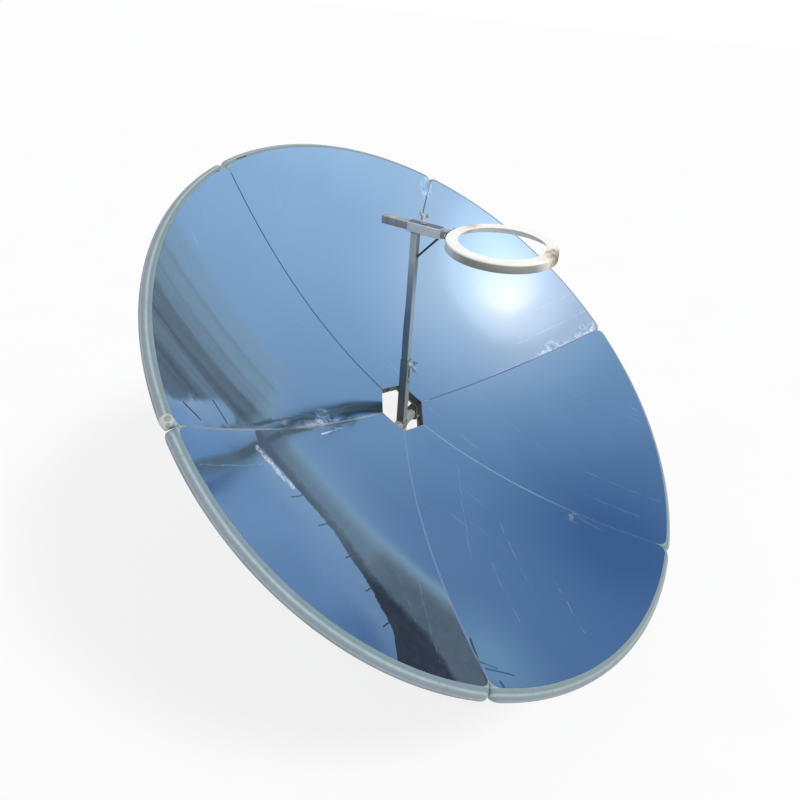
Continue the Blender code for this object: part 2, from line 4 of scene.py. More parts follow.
import bmesh
import bpy
from mathutils import Matrix, Vector
from mathutils.bvhtree import BVHTree


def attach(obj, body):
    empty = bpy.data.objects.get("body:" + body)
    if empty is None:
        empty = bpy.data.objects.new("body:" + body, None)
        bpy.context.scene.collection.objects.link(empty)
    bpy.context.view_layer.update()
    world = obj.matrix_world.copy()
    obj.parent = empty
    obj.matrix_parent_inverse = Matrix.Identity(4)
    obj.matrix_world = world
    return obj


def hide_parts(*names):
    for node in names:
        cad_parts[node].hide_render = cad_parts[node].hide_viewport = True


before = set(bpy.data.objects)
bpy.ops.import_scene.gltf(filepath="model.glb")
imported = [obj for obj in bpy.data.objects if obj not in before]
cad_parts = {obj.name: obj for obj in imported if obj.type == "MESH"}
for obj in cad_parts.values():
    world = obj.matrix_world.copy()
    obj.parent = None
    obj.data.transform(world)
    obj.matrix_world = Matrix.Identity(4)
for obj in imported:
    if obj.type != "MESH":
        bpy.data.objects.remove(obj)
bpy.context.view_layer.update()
scene = bpy.context.scene
print("frame loaded,", len(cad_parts), "nodes")

# Where the dish and the stand sit, in metres. Floor z = 0, column on x = y = 0.
layout = {
    "vertexHeight": 0.500, "axleHeight": 0.4466, "dishTilt": math.radians(90.0 - 55.4),
    "firstSeam": math.radians(11.0), "focalLength": 0.578, "mirrorRadius": 0.750,
}
petalTurn, quarter, circle = math.pi / 3, math.pi / 2, math.pi * 2
upright = Matrix.Identity(4)


def moved(x, y, z):
    return Matrix.Translation((x, y, z))


def spun(angle, axis):
    return Matrix.Rotation(angle, 4, axis)


def addObject(name, data):
    made = bpy.data.objects.new(name, data)
    scene.collection.objects.link(made)
    return made


dishFrame = moved(0, 0, layout["vertexHeight"]) @ spun(layout["dishTilt"], "Y")
headFrame = moved(0, 0, layout["axleHeight"])

viewPoint = {
    "place": (0.72845, -1.32822, 1.55922), "shift": (-0.0014, -0.0803),
    "lens": 29.479, "sensor": 36.0, "farthest": 60.0,
    "axes": (  # right, up, back
        (0.852676, 0.518901, 0.060699), (-0.295848, 0.383825, 0.874730), (0.430600, -0.763819, 0.480795),
    ),
}
cameraData = bpy.data.cameras.new("photoCamera")
cameraData.lens, cameraData.sensor_width = viewPoint["lens"], viewPoint["sensor"]
cameraData.clip_end = viewPoint["farthest"]
cameraData.shift_x, cameraData.shift_y = viewPoint["shift"]
camera = addObject("photoCamera", cameraData)
camera.matrix_world = moved(*viewPoint["place"]) @ Matrix(viewPoint["axes"]).transposed().to_4x4()
scene.camera = camera
scene.view_settings.view_transform = "Standard"


# Small tools for node trees, used by shaders and by Geometry Nodes.
def shown(colour):  # 0 to 255 as a screen shows it, made linear; up to 1 it is linear already
    if max(colour) <= 1:
        return colour
    return tuple(c / 255 / 12.92 if c < 11 else ((c / 255 + 0.055) / 1.055) ** 2.4 for c in colour)


def plug(socket, value):
    if isinstance(value, Wire):
        socket.id_data.links.new(value.socket, socket)
    elif socket.type == "RGBA":
        socket.default_value = (*shown(value), 1.0)
    else:
        socket.default_value = value


def addNode(tree, kind, inputs=(), output=0, **settings):  # inputs in order, or by name or number
    step = tree.nodes.new(kind)
    for label, value in settings.items():
        setattr(step, label, value)
    for key, value in inputs.items() if isinstance(inputs, dict) else enumerate(inputs):
        plug(step.inputs[key], value)
    return Wire(step, output)


class Wire:  # one output of a node; arithmetic on it adds nodes to the same tree
    def __init__(self, node, output=0):
        self.node, self.tree, self.socket = node, node.id_data, node.outputs[output]

    def calc(self, operation, *others, clamp=False):
        return addNode(self.tree, "ShaderNodeMath", (self, *others), operation=operation, use_clamp=clamp)

    def takenFrom(self, number, clamp=False):
        return addNode(self.tree, "ShaderNodeMath", (number, self), operation="SUBTRACT", use_clamp=clamp)

    __add__ = lambda self, other: self.calc("ADD", other)
    __sub__ = lambda self, other: self.calc("SUBTRACT", other)
    __mul__ = lambda self, other: self.calc("MULTIPLY", other)
    __truediv__ = lambda self, other: self.calc("DIVIDE", other)
    __pow__ = lambda self, other: self.calc("POWER", other)
    __rsub__ = takenFrom
    most = lambda self, other: self.calc("MAXIMUM", other)
    same = lambda self, number: self.calc("COMPARE", number, 0.1)
    sway = lambda self, amount: (self - 0.5) * amount

    def vector(self, operation, *others):
        inputs = {0: self, "Scale": others[0]} if operation == "SCALE" else (self, *others)
        single = operation in ("LENGTH", "DISTANCE", "DOT_PRODUCT")
        return addNode(self.tree, "ShaderNodeVectorMath", inputs, "Value" if single else "Vector", operation=operation)

    def axes(self):
        step = addNode(self.tree, "ShaderNodeSeparateXYZ", (self,)).node
        return [Wire(step, axis) for axis in "XYZ"]

    def spread(self, low, high, newLow=0.0, newHigh=1.0, shape="LINEAR"):
        values = (self, low, high, newLow, newHigh)
        return addNode(self.tree, "ShaderNodeMapRange", values, interpolation_type=shape, clamp=shape == "LINEAR")

    def smooth(self, low, high, newLow=0.0, newHigh=1.0):  # stays between its two ends without a clamp
        return self.spread(low, high, newLow, newHigh, "SMOOTHSTEP")

    def near(self, centre, core, reach, peak=1.0):  # full inside the core, nothing beyond the reach
        return self.vector("DISTANCE", centre).spread(core, reach, peak, 0.0)

    def noise(self, scale, detail=3.0, rough=0.5, distortion=0.0, output="Fac"):
        inputs = {"Vector": self, "Scale": scale, "Detail": detail, "Roughness": rough, "Distortion": distortion}
        return addNode(self.tree, "ShaderNodeTexNoise", inputs, output)


def mix(factor, first, second):
    return addNode(factor.tree, "ShaderNodeMix", {0: factor, 6: first, 7: second}, 2, data_type="RGBA")


def ramp(value, stops, mode="LINEAR"):
    made = addNode(value.tree, "ShaderNodeValToRGB", (value,))
    bar = made.node.color_ramp
    bar.interpolation = mode
    while len(bar.elements) < len(stops):
        bar.elements.new(1.0)
    for element, (place, colour) in zip(bar.elements, stops):
        element.position = place
        element.color = (*shown(colour), 1.0)
    return made


def graded(value, stops):  # a ramp over the places its stops name
    first, last = stops[0][0], stops[-1][0]
    return ramp(value.spread(first, last), [((place - first) / (last - first), colour) for place, colour in stops])


def curve(value, spots):  # a smooth curve through a few (place, height) pairs
    first, last = spots[0][0], spots[-1][0]
    low, high = min(y for _, y in spots), max(y for _, y in spots)
    made = addNode(value.tree, "ShaderNodeFloatCurve", {"Value": value.spread(first, last)})
    mapping = made.node.mapping
    points = mapping.curves[0].points
    while len(points) < len(spots):
        points.new(0.5, 0.5)
    for point, (x, y) in zip(points, spots):
        point.location = ((x - first) / (last - first), (y - low) / (high - low))
        point.handle_type = "AUTO_CLAMPED"
    mapping.update()
    return made.spread(0.0, 1.0, low, high)


def bump(height, distance, strength=0.5, under=None):
    inputs = {"Strength": strength, "Distance": distance, "Height": height}
    return addNode(height.tree, "ShaderNodeBump", inputs if under is None else {**inputs, "Normal": under})


def newMaterial(name):
    made = bpy.data.materials.new(name)
    made.use_nodes = True
    return made


def objectPlace(made, kind="POINT", **inputs):
    place = addNode(made.node_tree, "ShaderNodeTexCoord", output="Object")
    return addNode(place.tree, "ShaderNodeMapping", {"Vector": place, **inputs}, vector_type=kind)


def dishPlace(made):  # Object coordinates turned into the dish's own frame, vertex at the origin
    return objectPlace(made, "TEXTURE", Location=(0, 0, layout["vertexHeight"]), Rotation=(0, layout["dishTilt"], 0))


def surface(made, colour, rough, metallic=0.0, normal=None, specular=0.5):
    shader = made.node_tree.nodes["Principled BSDF"]
    labels = ("Base Color", "Roughness", "Metallic", "Specular IOR Level", "Normal")
    for label, value in zip(labels, (colour, rough, metallic, specular, normal)):
        if value is not None:
            plug(shader.inputs[label], value)
    return made


# Finishes
def wornMetal(name, colour, shade, stain, rough, metallic, grain=70.0, stretch=(1, 1, 1)):
    made = newMaterial(name)
    place = objectPlace(made)
    fine = objectPlace(made, Scale=stretch).noise(grain, 5.0, 0.6)
    broad, specks = place.noise(11.0, 4.0, 0.55, 0.6), place.noise(grain * 6.0, 2.0)
    tone = mix(fine.spread(0.35, 0.68), colour, shade)
    tone = mix(broad.smooth(0.50, 0.72) * 0.5, tone, stain)
    tone = mix(specks.spread(0.66, 0.74) * 0.35, tone, stain)
    dull = (fine * 0.25 + broad * 0.20).calc("ADD", rough - 0.22, clamp=True)
    return surface(made, tone, dull, metallic, bump(fine + specks * 0.4, 0.0003, 0.6))


def paintedMetal(name, colour, shade, bare, rough):
    made = newMaterial(name)
    place = objectPlace(made)
    peel, broad, worn = place.noise(360.0, 2.0), place.noise(9.9, 4.0, 0.6, 0.3), place.noise(45.0, 6.0, 0.7, 0.2)
    tone = mix(broad.spread(0.35, 0.7), colour, shade)
    chip = worn.spread(0.69, 0.72)
    dull = worn.spread(0.3, 0.75, rough - 0.08, rough + 0.14)
    return surface(made, mix(chip, tone, bare), dull, chip * 0.7, bump(peel * 0.5 - chip, 0.00015, 0.6))


def mouldedPlastic(name, colour, worn, rough, grain):
    made = newMaterial(name)
    place = objectPlace(made)
    grit, rubbed = place.noise(grain, 3.0, 0.6), place.noise(26.0, 4.0, 0.6, 0.3)
    tone = mix(rubbed.spread(0.48, 0.75) * 0.7, colour, worn)
    return surface(made, tone, rubbed.spread(0.3, 0.7, rough - 0.1, rough + 0.1), 0.0, bump(grit, 0.0001))


def strokeGroup():  # a stroke from one point to another, soft by a different width on each side
    tree = bpy.data.node_groups.new("filmStroke", "ShaderNodeTree")
    for label in ("Place", "From", "To", "Half Width", "Soft Left", "Soft Right"):
        kind = "NodeSocketFloat" if " " in label else "NodeSocketVector"
        tree.interface.new_socket(label, in_out="INPUT", socket_type=kind)
    tree.interface.new_socket("Mask", in_out="OUTPUT", socket_type="NodeSocketFloat")
    entry, leave = tree.nodes.new("NodeGroupInput"), tree.nodes.new("NodeGroupOutput")
    place, start, end, half, left, right = (Wire(entry, number) for number in range(6))
    along, offset = end.vector("SUBTRACT", start), place.vector("SUBTRACT", start)
    share = offset.vector("DOT_PRODUCT", along) / along.vector("DOT_PRODUCT", along)
    share = share.most(0.0).calc("MINIMUM", 1.0)
    away = offset.vector("SUBTRACT", along.vector("SCALE", share)).vector("LENGTH")
    onLeft = along.vector("CROSS_PRODUCT", offset).axes()[2].calc("GREATER_THAN", 0.0)
    soft = onLeft * left + (1.0 - onLeft) * right
    plug(leave.inputs["Mask"], ((away - half) / soft).smooth(0.0, 1.0, 1.0, 0.0))
    return tree


strokeTree = strokeGroup()


def stroke(place, start, end, amount, half=0.4, left=1.2, right=1.2):  # lengths in millimetres
    inputs = {"Place": place, "From": (start[0] / 1000, start[1] / 1000, 0), "To": (end[0] / 1000, end[1] / 1000, 0)}
    inputs |= {"Half Width": half / 1000, "Soft Left": left / 1000, "Soft Right": right / 1000}
    return addNode(place.tree, "ShaderNodeGroup", inputs, node_tree=strokeTree) * amount


film = {
    "tones": [  # painted reflection of the sky: deep blue on the near right side, pale towards the far left
        (0.15, (72, 108, 155)), (0.35, (84, 120, 163)), (0.50, (106, 143, 183)),
        (0.65, (122, 161, 200)), (0.80, (136, 175, 214)), (0.92, (160, 195, 230)),
    ],
    "toneWeights": (-0.42, 0.25, 0.46),
    "roughness": 0.10,
    "patches": [  # painted reflection: lighter and darker spots where the film shows its surroundings, one a whitish painted glare; centre, core and reach, colour, amount
        ((0.64, 0.08, 0), 0.08, 0.42, (54, 90, 140), 0.85), ((-0.16, 0.56, 0), 0.10, 0.55, (184, 210, 236), 0.75),
        ((0.00, -0.70, 0), 0.14, 0.46, (128, 163, 198), 0.95), ((0.20, -0.71, 0), 0.03, 0.14, (142, 174, 204), 0.55),
        ((-0.27, -0.68, 0), 0.03, 0.14, (146, 176, 204), 0.85), ((-0.03, 0.58, 0), 0.02, 0.20, (234, 240, 248), 0.70),
        ((0.48, -0.50, 0), 0.03, 0.18, (112, 158, 184), 0.45),
    ],
    "sheen": ((0.16, 0.64, 0), 0.10, 0.36, (182, 198, 222), 0.58),  # painted sheen: the sun's glare as a pale cast on the far petal by its right seam
    "seamHalfWidth": 0.0021,
    "seams": [  # from the near right seam round: that one, far right, far, far left, near left, near
        (146, 182, 222), (88, 122, 166), (52, 90, 130), (52, 90, 130), (180, 198, 204), (130, 166, 204),
    ],
    # tones for soot and for painted reflection, from faint to dark
    "sootTones": [
        (0.0, (118, 152, 184)), (0.16, (115, 148, 175)), (0.35, (106, 134, 158)), (0.50, (97, 119, 137)),
        (0.70, (79, 97, 113)), (0.85, (62, 80, 95)), (1.0, (43, 52, 68)),
    ],
    "streakTurn": math.radians(14.0),
    "streaks": [  # across the streaks, from the clean side: place, soot
        (-0.205, 0.00), (-0.235, 0.15), (-0.288, 0.17), (-0.300, 0.34), (-0.312, 0.24), (-0.340, 0.25), (-0.351, 0.40),
        (-0.362, 0.35), (-0.390, 0.38), (-0.403, 0.62), (-0.430, 0.57), (-0.450, 0.72), (-0.470, 0.50), (-0.492, 0.46),
        (-0.517, 0.71), (-0.550, 0.60), (-0.578, 0.56), (-0.590, 0.14), (-0.600, 0.00),
    ],
    "bandEdge": [
        (-0.20, -0.480), (-0.13, -0.525), (-0.045, -0.518), (0.040, -0.518), (0.100, -0.524), (0.150, -0.544),
        (0.205, -0.563), (0.250, -0.592), (0.285, -0.616), (0.308, -0.656), (0.34, -0.740),
    ],
    "bandTop": [
        (-0.20, -0.500), (-0.12, -0.505), (0.00, -0.504), (0.10, -0.512), (0.16, -0.528), (0.205, -0.546),
        (0.25, -0.553), (0.30, -0.560), (0.352, -0.570), (0.40, -0.604), (0.45, -0.640),
    ],
    "bandDepth": [(-0.20, 0.62), (0.00, 0.66), (0.12, 0.68), (0.18, 0.80), (0.24, 1.0), (0.45, 1.0)],
    "bandVeil": [(-0.20, 0.46), (0.00, 0.42), (0.15, 0.42), (0.21, 0.56), (0.28, 0.66), (0.45, 0.70)],
    "folds": [  # where the film has come loose beside a seam: centre, reach
        ((0.215, 0.680, 0), 0.080), ((0.172, 0.560, 0), 0.070), ((-0.49, 0.540, 0), 0.060),
        ((0.530, 0.086, 0), 0.034), ((-0.118, -0.265, 0), 0.036),
    ],
}
film["strokes"] = {  # in millimetres: from, to, amount, half width, soft left, soft right
    # soot, and painted reflection: the dark arch that starts by the hub is a painted reflection of the post
    "sootAndReflection": [
        ((-40, -64), (-73, -123), 0.56, 7.0, 4, 5), ((-73, -123), (-96, -182), 0.52, 7.0, 4, 5),
        ((-96, -182), (-112, -238), 0.49, 4.8, 5, 5), ((-112, -238), (-121, -276), 0.44, 2.8, 5, 5),
        ((-126, -292), (-147, -341), 0.62, 1.6, 3, 4), ((-147, -341), (-171, -439), 0.58, 1.0, 3, 8),
        ((-171, -439), (-184, -500), 0.70, 1.4, 4, 12), ((-212, -470), (-205, -520), 0.60, 4.0, 12, 12),
        ((-58, -178), (-112, -335), 0.50, 1.5, 6, 4), ((-112, -335), (-138, -443), 0.60, 3.0, 8, 6),
        ((-138, -443), (-143, -530), 0.64, 4.0, 12, 10), ((-143, -530), (-144, -601), 0.62, 5.0, 18, 12),
        ((-144, -601), (-154, -680), 0.50, 5.0, 22, 14), ((-154, -680), (-161, -735), 0.44, 6.0, 24, 16),
        ((-16, -550), (-2, -509), 0.62, 0.5, 2, 2), ((63, -548), (78, -504), 0.72, 0.5, 2, 2),
        ((146, -553), (159, -517), 0.80, 0.5, 2, 2), ((214, -589), (232, -538), 0.90, 0.5, 2, 2),
        ((273, -633), (290, -590), 0.95, 0.5, 2, 2), ((-281, -654), (-238, -641), 0.90, 0.7, 2, 2),
        ((-265, -569), (-208, -574), 0.90, 0.7, 2, 2), ((434, -487), (479, -560), 0.90, 1.6, 3, 4),
    ],
    # light strokes: bright scratches, and painted highlights on crinkled film beside the far right seam
    "light": [
        ((212, 0), (305, -139), 0.24), ((305, -139), (377, -268), 0.20), ((390, -87), (517, -222), 0.22),
        ((418, -229), (516, -343), 0.28), ((555, -152), (641, -258), 0.34), ((524, 180), (657, 201), 0.14),
        ((496, 256), (681, 281), 0.18), ((50, 80), (238, 92), 0.24), ((-102, -551), (-163, -720), 0.40, 0.5, 1.4, 1.4),
        ((87, 462), (177, 751), 0.45, 0.5, 1.6, 5.0), ((49, 600), (97, 743), 0.40, 0.5, 1.6, 4.0),
        ((250, -470), (330, -560), 0.16, 0.4, 1.4, 1.4), ((300, -450), (390, -600), 0.16, 0.4, 1.4, 1.4),
        ((110, 332), (172, 512), 0.50, 0.4, 1.2, 1.4), ((168, 508), (235.5, 696.2), 1.00, 1.0, 2.0, 1.6),
        ((-150, -405), (-104, -288), 0.70, 5.0, 10, 10), ((-110, -300), (-72, -186), 0.60, 0.8, 3.0, 4.0),
        ((-82, -316), (-69, -260), 1.00, 1.2, 1.6, 1.6), ((-76, -262), (-60, -239), 0.80, 0.8, 1.6, 1.6),
    ],
    "creaseShade": [  # painted shade in creases of the film beside the near seam
        ((461, -526), (494, -511), 0.75, 0.9, 2, 2), ((474, -532), (528, -499), 0.85, 1.1, 2, 2),
        ((506, -540), (518, -549), 1.00, 2.0, 2, 2),
    ],
    "cleared": [((-262, -682), (-236, -572), 1.0, 16, 36, 36)],  # clean film at the foot of the streaks
    "fuzz": [((-140, -537), (-30, -528), 1.0, 3, 12, 12)],  # a pale ragged edge on the near left petal
}


def filmMaterial():
    made = newMaterial("mirrorFilm")
    place = dishPlace(made)
    flat = place.vector("MULTIPLY", (1, 1, 0))
    across, along, _ = place.axes()
    radius = flat.vector("LENGTH")
    weightX, weightY, offset = film["toneWeights"]
    haze = place.noise(4.5, 3.0, 0.5, 0.4)
    # painted reflection of the sky across the film, then the painted reflection spots and glare
    colour = ramp(across * weightX + along * weightY + offset + haze * 0.08, film["tones"])
    for *spot, tint, amount in film["patches"]:
        colour = mix(flat.near(*spot) ** 1.6 * amount, colour, tint)

    # which petal a point is on, and how far it is from the nearest seam
    turns = (along.calc("ARCTAN2", across) - layout["firstSeam"]) / petalTurn + 6.0
    offSeam = 0.5 - (turns.calc("FRACT") - 0.5).calc("ABSOLUTE")
    fromSeam = offSeam * petalTurn * radius
    petal = turns.calc("FLOOR")
    farLeft, nearLeft = petal.same(3.0), petal.same(4.0)
    # painted sheen of the sun's glare
    *spot, tint, amount = film["sheen"]
    colour = mix(flat.near(*spot) ** 1.3 * amount * petal.same(7.0), colour, tint)

    # streaks of soot on the far left petal, all running the same way
    ragged = place.noise(26.0, 4.0, 0.7)
    cosine, sine = math.cos(film["streakTurn"]), math.sin(film["streakTurn"])
    run, over = across * cosine + along * sine, along * cosine - across * sine
    thread = addNode(run.tree, "ShaderNodeCombineXYZ", (run * 5.0, over * 110.0)).noise(1.0, 2.0, 0.6)
    stops = [(spot, (sootAndReflection, sootAndReflection, sootAndReflection)) for spot, sootAndReflection in film["streaks"]]
    streak = graded(over + place.noise(7.0, 3.0, 0.6).sway(0.022), stops)
    streak = streak + (thread - 0.5) * (streak * 0.55)
    worn = (ragged + run * 1.4).spread(-0.02, 0.16, 0.0, 0.45) * over.spread(-0.49, -0.53)
    streak = streak * run.smooth(-0.34, -0.24, 1.0, 0.0) * farLeft

    # painted reflection: the wide dark band on the near left petal, with a sharp near edge, fading away from it
    jagged = place.noise(60.0, 5.0, 0.75).sway(0.016)
    above = along + jagged - curve(across, film["bandEdge"])
    beyond = along + jagged * 2.0 - curve(across, film["bandTop"])
    core = beyond.smooth(-0.006, 0.052, 1.0, 0.0) * curve(across, film["bandDepth"])
    veil = (along + jagged).smooth(-0.480, -0.385, 1.0, 0.0) * curve(across, film["bandVeil"])
    band = core.most(veil) * above.spread(-0.001, 0.002) * nearLeft

    # strokes of soot, of painted reflection, scratches, painted highlights and painted shade in creases, all a little
    # wavy
    shift = place.noise(22.0, 2.0, output="Color").vector("SUBTRACT", (0.5, 0.5, 0.5)).vector("SCALE", 0.010)
    drawn = flat.vector("ADD", shift).vector("MULTIPLY", (1, 1, 0))
    masks = {kind: reduce(Wire.most, (stroke(drawn, *row) for row in rows)) for kind, rows in film["strokes"].items()}
    streak = streak * (masks["cleared"] + ragged.sway(1.1)).smooth(0.22, 1.00, 1.0, 0.06)
    # soot streaks and strokes, together with the painted reflection of the dark band and of the post
    sootAndReflection = streak.most(band).most(masks["sootAndReflection"]) * ragged.spread(0.3, 0.7, 0.93, 1.05)
    colour = mix(sootAndReflection.spread(0.0, 0.22), colour, ramp(sootAndReflection, film["sootTones"]))
    flecks = place.noise(210.0, 3.0, 0.7).spread(0.58, 0.66)
    pale = streak.spread(0.45, 0.7) * ragged.spread(0.52, 0.62) * flecks
    colour = mix(pale * 0.60, colour, (164, 180, 190))
    colour = mix(worn * farLeft, colour, (142, 162, 182))

    # the film's edge along the seams: pale on some of them, dark on the others; a painted highlight where the film is
    # lifted beside the far right seam
    edge = fromSeam.spread(film["seamHalfWidth"] * 0.8, film["seamHalfWidth"] * 1.15, 1.0, 0.0)
    nearest = turns.calc("ROUND").calc("FLOORED_MODULO", 6.0)
    seamTint = ramp((nearest + 0.5) / 6.0, [(k / 6, tint) for k, tint in enumerate(film["seams"])], "CONSTANT")
    liftedHighlight = nearest.same(1.0) * radius.smooth(0.47, 0.54) * petal.same(7.0)
    fading = nearest.same(0.0) * radius.smooth(0.40, 0.56, 0.0, 0.80)
    colour = mix(edge * (0.85 - fading * 0.85), colour, mix(liftedHighlight, seamTint, (204, 218, 236)))

    # bright scratches, and painted highlights on crinkled film
    broken = place.noise(34.0, 2.0).spread(0.38, 0.60)
    colour = mix(masks["light"] * broken, colour, (196, 214, 234))
    # painted shade in the creases
    colour = mix(masks["creaseShade"], colour, (40, 74, 120))
    torn = (place.noise(150.0, 5.0, 0.8) + masks["fuzz"] * 0.42).spread(0.85, 0.95)
    colour = mix(torn, colour, (208, 214, 222))

    # hair scratches all over, running two ways
    hairs = []
    for spin, seed in ((0.62, 3.1), (-0.85, 7.7)):
        inputs = {"Location": (seed, seed * 0.5, seed), "Rotation": (0, 0, spin), "Scale": (2.6, 95.0, 1.0)}
        lines = addNode(flat.tree, "ShaderNodeMapping", {"Vector": flat, **inputs}).noise(1.0, 1.0, 0.4)
        hairs.append(lines.spread(0.71, 0.77) * place.noise(6.0 + seed, 2.0).spread(0.52, 0.68))
    colour = mix(hairs[0].most(hairs[1]) * 0.16, colour, (190, 208, 230))

    # loose, crumpled places beside the seams: small facets, with painted highlights on some and painted shade on
    # others
    loose = reduce(Wire.most, (flat.vector("DISTANCE", spot).smooth(0, reach, 1, 0) for spot, reach in film["folds"]))
    loose = loose * fromSeam.smooth(0.010, 0.045, 1, 0) * (1.0 - petal.same(6.0))
    crumple = addNode(drawn.tree, "ShaderNodeTexVoronoi", {"Vector": drawn, "Scale": 85.0}, "Color")
    facet = addNode(drawn.tree, "ShaderNodeSeparateColor", (crumple,))
    colour = mix(facet.spread(0.62, 0.95, 0.0, 0.75) * loose, colour, (224, 234, 246))
    colour = mix(facet.spread(0.30, 0.05, 0.0, 0.35) * loose, colour, (84, 112, 150))

    sheen = haze.spread(0.3, 0.7, film["roughness"], film["roughness"] + 0.06)
    wave = bump(place.noise(5.0, 2.0, 0.4), 0.0016)
    normal = bump(Wire(crumple.node, "Distance") * loose, 0.004, 0.5, wave)
    return surface(made, colour, sootAndReflection * 0.22 + loose * 0.10 + sheen, 1.0, normal)


sheet = {
    "bands": [  # painted highlights and painted shade across the rolled rim, from the film outwards: radius, colour
        (0.7400, (152, 158, 158)), (0.7470, (150, 162, 168)), (0.7480, (150, 170, 184)), (0.7498, (166, 186, 198)),
        (0.7512, (130, 150, 160)), (0.7580, (120, 140, 148)), (0.7610, (166, 182, 188)), (0.7626, (168, 184, 190)),
        (0.7650, (136, 152, 162)), (0.7690, (130, 144, 156)), (0.7712, (160, 172, 178)), (0.7735, (124, 132, 138)),
    ],
    # painted shade on the flange round the hole, paler at its lower edge
    "flangeBands": [
        (-0.029, (164, 162, 152)), (-0.0235, (140, 140, 134)), (-0.021, (66, 74, 84)), (0.002, (58, 66, 76)),
    ],
    "sandy": ((0.70, -0.20, 0), 0.10, 0.62, 0.35),
    "patch": ((-0.262, -0.7165, 0), 0.0110, 0.0135, 0.85),  # a bright flattened end of the rim round the rivet
    "marks": [  # slots and ticks in the rolled rim, as dark strokes; the dark of the slots is painted shade
        ((-750, -98), (-752, -62), 0.85, 1.6), ((-730, -190), (-729, -176), 0.85, 0.8),
        ((-264, -716), (-264.5, -716.5), 0.85, 1.2),
    ],
}


def sheetMaterial():  # the petals: painted highlights on the ridges where the rim is folded, painted shade between them, weathered all over and behind
    made = newMaterial("petalSheet")
    place = dishPlace(made)
    flat = place.vector("MULTIPLY", (1, 1, 0))
    broad, fine = place.noise(7.0, 4.0, 0.6, 0.5), place.noise(120.0, 4.0, 0.6)
    spangle = addNode(place.tree, "ShaderNodeTexVoronoi", {"Vector": place, "Scale": 65.0}, "Distance")
    # painted highlights and shade across the rolled rim, by radius
    colour = graded(flat.vector("LENGTH") + broad.sway(0.003), sheet["bands"])
    colour = mix(flat.near(*sheet["sandy"]), colour, (140, 149, 142))
    colour = mix(spangle.spread(0.1, 0.8) * 0.16, colour, (112, 124, 126))
    colour = mix(broad.smooth(0.5, 0.75) * 0.30, colour, (136, 148, 146))
    colour = mix(fine.spread(0.60, 0.72) * 0.35, colour, (92, 96, 90))
    colour = mix(flat.near(*sheet["patch"]), colour, (190, 197, 195))
    # dark strokes for the rim's ticks, and painted shade for its slots
    for row in sheet["marks"]:
        colour = mix(stroke(flat, *row), colour, (52, 60, 66))
    return surface(made, colour, broad.spread(0.3, 0.7, 0.38, 0.58), 0.30, bump(fine, 0.0002))


def flangeMaterial():  # the sheet turned back round the hole in the middle: painted shade, grime, and a paler lower edge
    made = newMaterial("innerFlange")
    place = dishPlace(made)
    grime = place.noise(60.0, 5.0, 0.65, 0.3)
    colour = graded(place.axes()[2] + grime.sway(0.008), sheet["flangeBands"])
    colour = mix(grime.spread(0.55, 0.75) * 0.6, colour, (104, 108, 108))
    return surface(made, colour, grime.spread(0.3, 0.7, 0.48, 0.66), 0.15, bump(grime, 0.0003))


ringMarks = {
    # the second mark, by the arm, is a painted shadow of the kettle, drawn in the scorch's brown tones
    "scorched": ((0.352, 0.012, 1.035), 0.0, 0.070, 0.80), "rearShadow": ((0.115, 0.055, 1.046), 0.0, 0.05, 0.5),
    "tones": [
        (0.0, (240, 240, 234)), (0.30, (232, 230, 220)), (0.48, (196, 188, 170)), (0.66, (134, 118, 98)),
        (0.85, (80, 68, 60)),
    ],
}


def ringMaterial():  # white enamel, scorched on the side away from the arm, with a painted shadow of the kettle on its top by the arm and painted shade on the lower skirt's near side
    made = newMaterial("ringEnamel")
    place = objectPlace(made)
    x, y, z = place.axes()
    rough, specks = place.noise(38.0, 6.0, 0.7, 0.4), place.noise(260.0, 3.0, 0.6)
    heatAndShadow = place.near(*ringMarks["scorched"]).most(place.near(*ringMarks["rearShadow"])) + rough.sway(1.1)
    colour = ramp(heatAndShadow, ringMarks["tones"])
    # painted shade on the lower skirt on the near side
    side = y.spread(-0.03, -0.07) * (x + rough * 0.05).spread(0.165, 0.215)
    colour = mix(z.smooth(1.0405, 1.0445, 1.0, 0.0) * side, colour, (148, 151, 140))
    colour = mix(specks.spread(0.64, 0.72) * 0.45, colour, (120, 112, 98))
    return surface(made, colour, heatAndShadow.spread(0.0, 0.8, 0.30, 0.70), 0.0, bump(rough + specks, 0.0003))


def gradedMetal(name, stops, stain, rough, metallic):  # steel whose tone changes with height
    made = newMaterial(name)
    grain = objectPlace(made, Scale=(1, 1, 0.12)).noise(75.0, 5.0, 0.6)
    blotch = objectPlace(made, Scale=(1, 1, 0.6)).noise(24.0, 4.0, 0.6, 0.4)
    tone = graded(objectPlace(made).axes()[2] + blotch.sway(0.03), stops)
    tone = mix(grain.spread(0.40, 0.72, 0.0, 0.35), tone, stain)
    tone = mix(blotch.spread(0.56, 0.70) * 0.35, tone, stain)
    dull = grain.spread(0.3, 0.7, rough - 0.06, rough + 0.10)
    return surface(made, tone, dull, metallic, bump(grain + blotch, 0.0002))
